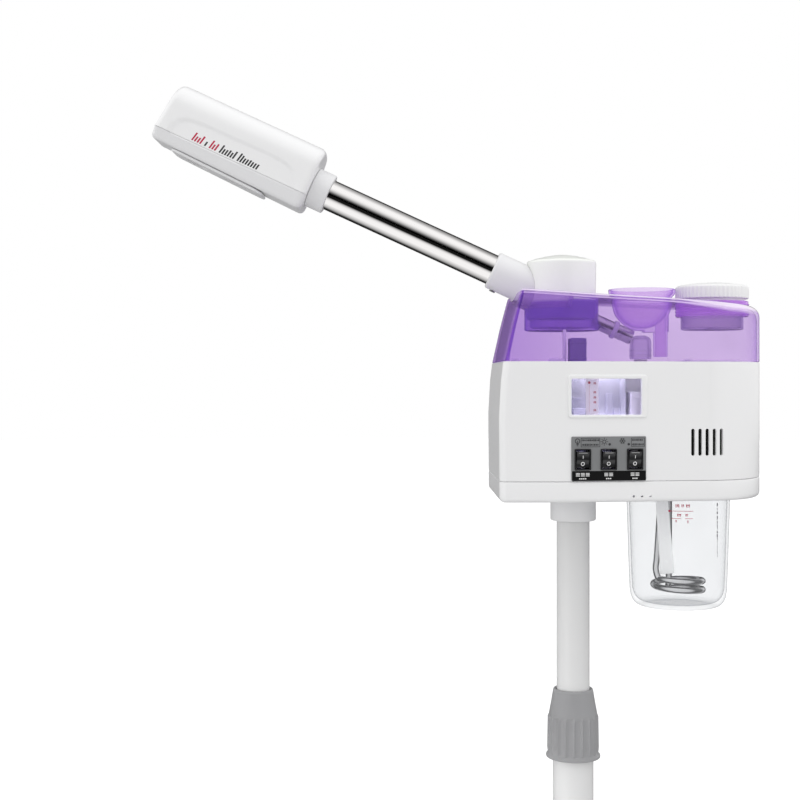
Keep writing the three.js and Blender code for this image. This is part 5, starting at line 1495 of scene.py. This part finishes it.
# ------------------------------------------------------------------ star base
def leg_rings(shrink=0.0):
    R = []
    keys = [(10, 21, 66, 114), (60, 18.5, 64.5, 101), (130, 16, 62.5, 86), (228, 13, 60, 77)]
    def at(r):
        for k0, k1 in zip(keys, keys[1:]):
            if r <= k1[0]:
                t = (r - k0[0]) / (k1[0] - k0[0])
                return [a + (b - a) * t for a, b in zip(k0, k1)][1:]
        return list(keys[-1][1:])
    xs = [27 + 201 * k / 30 for k in range(31)]
    def sec(r, half, z0, z1):
        p = [(r, -half + 0.8, z0), (r, half - 0.8, z0), (r, half, z0 + 0.8)]
        zs = z1 - half * 0.62
        p.append((r, half, zs - (zs - z0) * 0.4))
        for i in range(17):
            t = math.pi * i / 16
            p.append((r, half * math.copysign(abs(math.cos(t)) ** 0.72, math.cos(t)), zs + (z1 - zs) * abs(math.sin(t)) ** 0.85))
        p.append((r, -half, zs - (zs - z0) * 0.4))
        p.append((r, -half, z0 + 0.8))
        return p
    for r in xs:
        h, z0, z1 = at(r)
        R.append(sec(r, h, z0, z1))
    # round nose
    for k in range(1, 9):
        t = math.pi / 2 * k / 8
        h = 13 * math.cos(t) if k < 8 else 0.9
        R.append(sec(228 + 12.9 * math.sin(t), max(h, 0.9), 60, 77 - 2.2 * (1 - math.cos(t))))
    return R


hubp = [(0, 62), (36.4, 62), (37.6, 62.8), (38.6, 66), (38.9, 74), (38.6, 88), (37.4, 100), (35.2, 108), (32.6, 112.8), (30.6, 115.2), (29.0, 117.6), (28.2, 119.4), (27.4, HUBTOP), (21.9, HUBTOP), (21.5, HUBTOP - 0.6), (21.5, 112), (0, 112)]
hub = lathe("star", [(r, z) for r, z in hubp], n=120)
hub = boolean(hub, [lathe("k", [(0, 70), (21.35, 70), (21.35, 130), (0, 130)], n=96)], angle=45)
hub = bevel(hub, 0.8, 2, 42, 42)
leg = loft("leg", leg_rings(), angle=45)
cuts = [lathe("k", [(0, 50), (5.8, 50), (5.8, 74), (0, 74)], 228, 0, n=32)]
for r0, r1 in ((52, 92), (96, 136), (140, 176), (180, 212)):
    hw0 = 18.5 - (r0 - 60) * 0.028 - 3.2
    hw1 = 18.5 - (r1 - 60) * 0.028 - 3.2
    cuts.append(prism("k", [(r0, -hw0), (r1, -hw1), (r1, hw1), (r0, hw0)], 50, 70.5, Matrix.Identity(4)))
leg = boolean(leg, cuts, angle=45)
leg = bevel(leg, 1.1, 3, 42, 42)
legs = [hub]
axis_at = Matrix.Translation((PX / 1000.0, 0, 0))
for i in range(5):
    me = leg.data.copy()
    me.transform(axis_at @ Matrix.Rotation(i * 2 * math.pi / 5, 4, "Z") @ axis_at.inverted())
    o = bpy.data.objects.new("leg", me)
    bpy.context.scene.collection.objects.link(o)
    legs.append(o)
bpy.data.objects.remove(leg)
star = join("star", legs, 42)
give(star, STAND, "stand", ["star_base"])

# ------------------------------------------------------------------ castors
for i in range(5):
    a = i * 2 * math.pi / 5
    C = Matrix.Translation((228 * math.cos(a), 228 * math.sin(a), 0)) @ Matrix.Rotation(a, 4, "Z")
    WX = C @ Matrix.Translation((18, 0, 25)) @ Matrix.Rotation(-math.pi / 2, 4, "X")  # local z runs across the castor
    hood = []
    for k in range(33):
        t = -0.25 + (math.pi + 0.35) * k / 32
        co, si = math.cos(t), math.sin(t)
        row = []
        for rr, yy in ((26.6, -20.2), (28.2, -21), (29.0, -20.0), (29.35, -10), (29.45, 0), (29.35, 10), (29.0, 20.0), (28.2, 21), (26.6, 20.2), (26.6, 10), (26.6, 0), (26.6, -10)):
            taper = 1.0 - 0.10 * max(0.0, math.sin((t + 0.25) / (math.pi + 0.35) * math.pi) ** 0.5 * 0) 
            row.append(tuple(C @ Vector((18 + rr * co, yy * taper, 25 + rr * si))))
        hood.append(row)
    h_ = loft("hood", hood, angle=50)
    mid_ = lathe("web", [(4.4, -4), (26.8, -4), (26.8, 4), (4.4, 4), (4.4, -4)], n=64, xf=WX)
    mid_ = boolean(mid_, [box("k", -12, 48, -5.2, 5.2, -5, 6, xf=C)])
    post = lathe("post", [(0, 53.2), (10.2, 53.2), (9.6, 55.2), (8.6, 56.6), (6.2, 57), (5.4, 57.4), (5.4, 72.9), (4.8, 73.5), (0, 73.5)], n=48, xf=C)
    neck_ = loft("neck", [[tuple(C @ Vector((x * s + o_, y * s, z))) for x, y in rounded_rect(-9, 11, -8, 8, 6, 5)] for z, s, o_ in ((42, 1.12, 2.5), (46, 1.08, 2.0), (50, 1.02, 1.2), (54, 0.92, 0.0))], angle=45)
    neck_ = boolean(neck_, [lathe("k", [(0, -40), (26.9, -40), (26.9, 40), (0, 40)], n=64, xf=WX)])
    fr = boolean(h_, [mid_], "UNION", angle=50)
    fr = boolean(fr, [neck_], "UNION", angle=50)
    fr = boolean(fr, [post], "UNION", angle=50)
    give(fr, CASTOR, "castor_%d" % (i + 1), ["castor_%d_frame" % (i + 1)])
    fr.name = "castor_hood_%d" % (i + 1)
    rims, treads = [], []
    for s in (1, -1):
        prof = [(0, 4.8), (20.2, 4.8), (20.2, 17.2), (19.6, 18.2), (18.4, 18.2), (17.6, 17.0), (15.5, 15.9), (10.0, 15.6), (8.4, 16.2), (7.6, 18.0), (6.8, 19.6), (5.4, 20.4), (0, 20.6)]
        rims.append(lathe("rim", [(r, s * z) for r, z in prof], n=72, xf=WX))
        prof = [(20.0, 4.9), (23.2, 4.9), (24.3, 6.2), (24.85, 8.0), (25.0, 10.4), (25.0, 12.6), (24.8, 15.0), (24.1, 17.0), (22.8, 18.6), (21.6, 19.0), (20.0, 18.6), (20.0, 4.9)]
        treads.append(lathe("tread", [(r, s * z) for r, z in prof], n=96, xf=WX))
        for k in range(6):
            Y = WX @ Matrix.Rotation(k * math.pi / 3, 4, "Z")
            z0_, z1_ = (15.2, 17.0) if s > 0 else (-17.0, -15.2)
            rims.append(prism("spoke", [(7.5, -1.0), (18.6, -0.8), (18.6, 0.8), (7.5, 1.0)], z0_, z1_, Y, bevel=0.4, segs=2))
    axle = lathe("axle", [(0, -10), (3.9, -10), (3.9, 10), (0, 10)], n=32, xf=WX)
    give(join("castor_rims_%d" % (i + 1), rims + [axle]), WHEEL, "castor_%d_wheelset" % (i + 1), ["castor_%d_wheels" % (i + 1)])
    give(join("castor_tyres_%d" % (i + 1), treads), TREAD, "castor_%d_wheelset" % (i + 1))

# ------------------------------------------------------------------ electrics behind the casing
brd = prism("b", rounded_rect(88, 160, -34, 42, 2, 4), 900, 901.6, Matrix.Identity(4))
brd = boolean(brd, [lathe("k", [(0, 898), (1.6, 898), (1.6, 904), (0, 904)], x, y, n=20) for x, y in ((91.5, -30.5), (156.5, -30.5), (91.5, 38.5), (156.5, 38.5))])
comps = [brd]
for x, y, r, h in ((96, -22, 4, 10), (106, -24, 3, 8), (146, -24, 5, 12), (152, 30, 4, 9), (98, 32, 3, 7)):
    comps.append(lathe("c", [(0, 901.4), (r, 901.4), (r, 902.0), (r - 0.35, 902.3), (r, 902.6), (r, 901.6 + h - 0.5), (r - 0.5, 901.6 + h), (0, 901.6 + h - 0.3)], x, y, n=28))
for x, y, w, d, h in ((120, 28, 14, 10, 6), (146, 6, 8, 16, 5), (97, 8, 9, 12, 9)):
    comps.append(prism("c", rounded_rect(x - w / 2, x + w / 2, y - d / 2, y + d / 2, 0.6, 2), 901.4, 901.6 + h, Matrix.Identity(4), bevel=0.3, segs=2))
give(join("control_board", comps), BOARD, "machine", ["circuit_board"])
lam = []
for k in range(12):
    lam.append(prism("l", rounded_rect(104, 142, -8 + k * 1.5, -6.8 + k * 1.5, 0.2, 2), 902, 924, Matrix.Identity(4)))
lam.append(prism("l", rounded_rect(108, 138, -13.8, 15.8, 5, 6), 904.2, 921.6, Matrix.Identity(4), bevel=2.6, segs=4))
lam.append(prism("l", rounded_rect(112, 134, -11, 13, 3, 4), 921, 929.8, Matrix.Identity(4), bevel=1.2, segs=3))
give(join("transformer_core", lam), WINDING, "machine", ["transformer"])
FB = Matrix.Translation((85, 0, 887)) @ Matrix.Rotation(-math.pi / 2, 4, "X")  # local z runs along +Y
ff = prism("f", rounded_rect(-21, 21, -21, 21, 3, 6), 66, 80, FB, bevel=0.6, segs=2)
ff = boolean(ff, [lathe("k", [(0, 60), (19.5, 60), (19.5, 90), (0, 90)], n=72, xf=FB)] + [lathe("k", [(0, 60), (2.0, 60), (2.0, 90), (0, 90)], x, y, n=16, xf=FB) for x in (-17.2, 17.2) for y in (-17.2, 17.2)])
sp = [lathe("h", [(0, 66), (8, 66), (8, 67.6), (7.6, 68), (0, 68)], n=40, xf=FB)]
for k in range(3):
    sp.append(prism("h", rounded_rect(6, 20.4, -1.3, 1.3, 0.5, 2), 66, 68, FB @ Matrix.Rotation(k * 2 * math.pi / 3, 4, "Z")))
give(join("fan_housing", [ff] + sp), CASTOR, "machine", ["fan_frame"])
bl = [lathe("h", [(0, -4), (6.8, -4), (7.5, -3.3), (7.5, 3.3), (6.8, 4), (0, 4)], n=48, xf=FB @ Matrix.Translation((0, 0, 73.5)))]
for k in range(7):
    rows = []
    for j in range(9):
        r = 7.0 + 11.2 * j / 8
        tw = 0.85 - 0.35 * j / 8
        ch = 3.6 + 0.9 * j / 8
        row = []
        for u, w in ((-1, 0.15), (-0.5, 0.45), (0, 0.5), (0.5, 0.45), (1, 0.15), (1, -0.15), (0.5, -0.1), (0, 0.0), (-0.5, -0.1), (-1, -0.15)):
            yy, zz = ch * u, w + 0.7 * (1 - u * u)
            row.append(tuple(FB @ Matrix.Translation((0, 0, 73.5)) @ Matrix.Rotation(k * 2 * math.pi / 7, 4, "Z") @ Vector((r, yy * math.cos(tw) - zz * math.sin(tw), yy * math.sin(tw) + zz * math.cos(tw)))))
        rows.append(row)
    bl.append(loft("blade", rows, angle=50))
give(join("fan_blades", bl), CASTOR, "fan", ["fan_rotor"])
tz0, tz1 = span("mist_transducer")[0][2], span("mist_transducer")[1][2]
prof = [(0, tz0), (14.4, tz0), (15, tz0 + 0.6), (15, 833), (18.4, 833), (19, 833.6), (19, tz1 - 0.8), (18.4, tz1 - 0.2), (16.5, tz1), (13.2, tz1 - 0.2), (12.6, tz1 - 0.9), (10, tz1 - 1.0), (0, tz1 - 1.0)]
give(lathe("mist_disc", prof, -44, 0, n=72), BRASS, "machine", ["mist_transducer"])
IO = rounded_rect(-55, -25, 826.5, 849.5, 2.4, 5)
II = rounded_rect(-49.5, -30.5, 831, 845, 1.6, 5)
pl = frame_ring("p", IO, II, 0.3, 2.5, 0.8, BACK, 3)
tb = frame_ring("p", rounded_rect(-51.9, -28.1, 829.1, 846.9, 1.8, 5), rounded_rect(-49.5, -30.5, 831, 845, 1.6, 5), -15.0, 1.0, 0.1, BACK, 1)
bk = prism("p", rounded_rect(-51.9, -28.1, 829.1, 846.9, 1.8, 5), -19.0, -14.9, BACK)
give(join("inlet_socket", [pl, tb, bk]), SWITCH, "machine", ["power_inlet"])
pins = [box("p", x - 0.9, x + 0.9, z - 2.1, z + 2.1, -15, -3.0, xf=BACK, bevel=0.3) for x, z in ((-44.8, 838.0), (-35.2, 838.0), (-40.0, 840.4))]
give(join("inlet_pins", pins), SCREW, "machine")
# screws on the back of the casing
scr = []
for x, z in ((-66, 832), (-66, 928), (40, 832), (52, 928)):
    X = BACK @ Matrix.Translation((x, z, 0))
    h = lathe("s", [(0, -0.2), (3.2, -0.2), (3.2, 0.5), (2.6, 1.2), (1.4, 1.6), (0, 1.7)], n=32, xf=X)
    h = boolean(h, [prism("k", [(-2.2, -0.35), (2.2, -0.35), (2.2, 0.35), (-2.2, 0.35)], 0.9, 3, X), prism("k", [(-0.35, -2.2), (0.35, -2.2), (0.35, 2.2), (-0.35, 2.2)], 0.9, 3, X)])
    scr.append(h)
give(join("back_screws", scr), SCREW, "machine")

# painted shade: black sheets behind the front and back vents stand in for the dark inside of the casing
vs_pts = [(104, outline_y(104) + 3.6), (112, outline_y(112) + 3.5), (120, outline_y(120) + 3.5), (128, outline_y(128) + 3.5), (135, outline_y(135) + 3.8), (144, outline_y(144) + 5.0)]
rings = []
for x, y in vs_pts:
    rings.append([(x, y, 842), (x, y + 0.8, 842), (x, y + 0.8, 877), (x, y, 877)])
give(loft("vent_shade_sheet", rings), PANEL_BLACK, "machine")
give(loft("rear_vent_shade_sheet", [[(58, 82.6, 863), (58, 83.3, 863), (58, 83.3, 908), (58, 82.6, 908)], [(112, 82.6, 863), (112, 83.3, 863), (112, 83.3, 908), (112, 82.6, 908)]]), PANEL_BLACK, "machine")
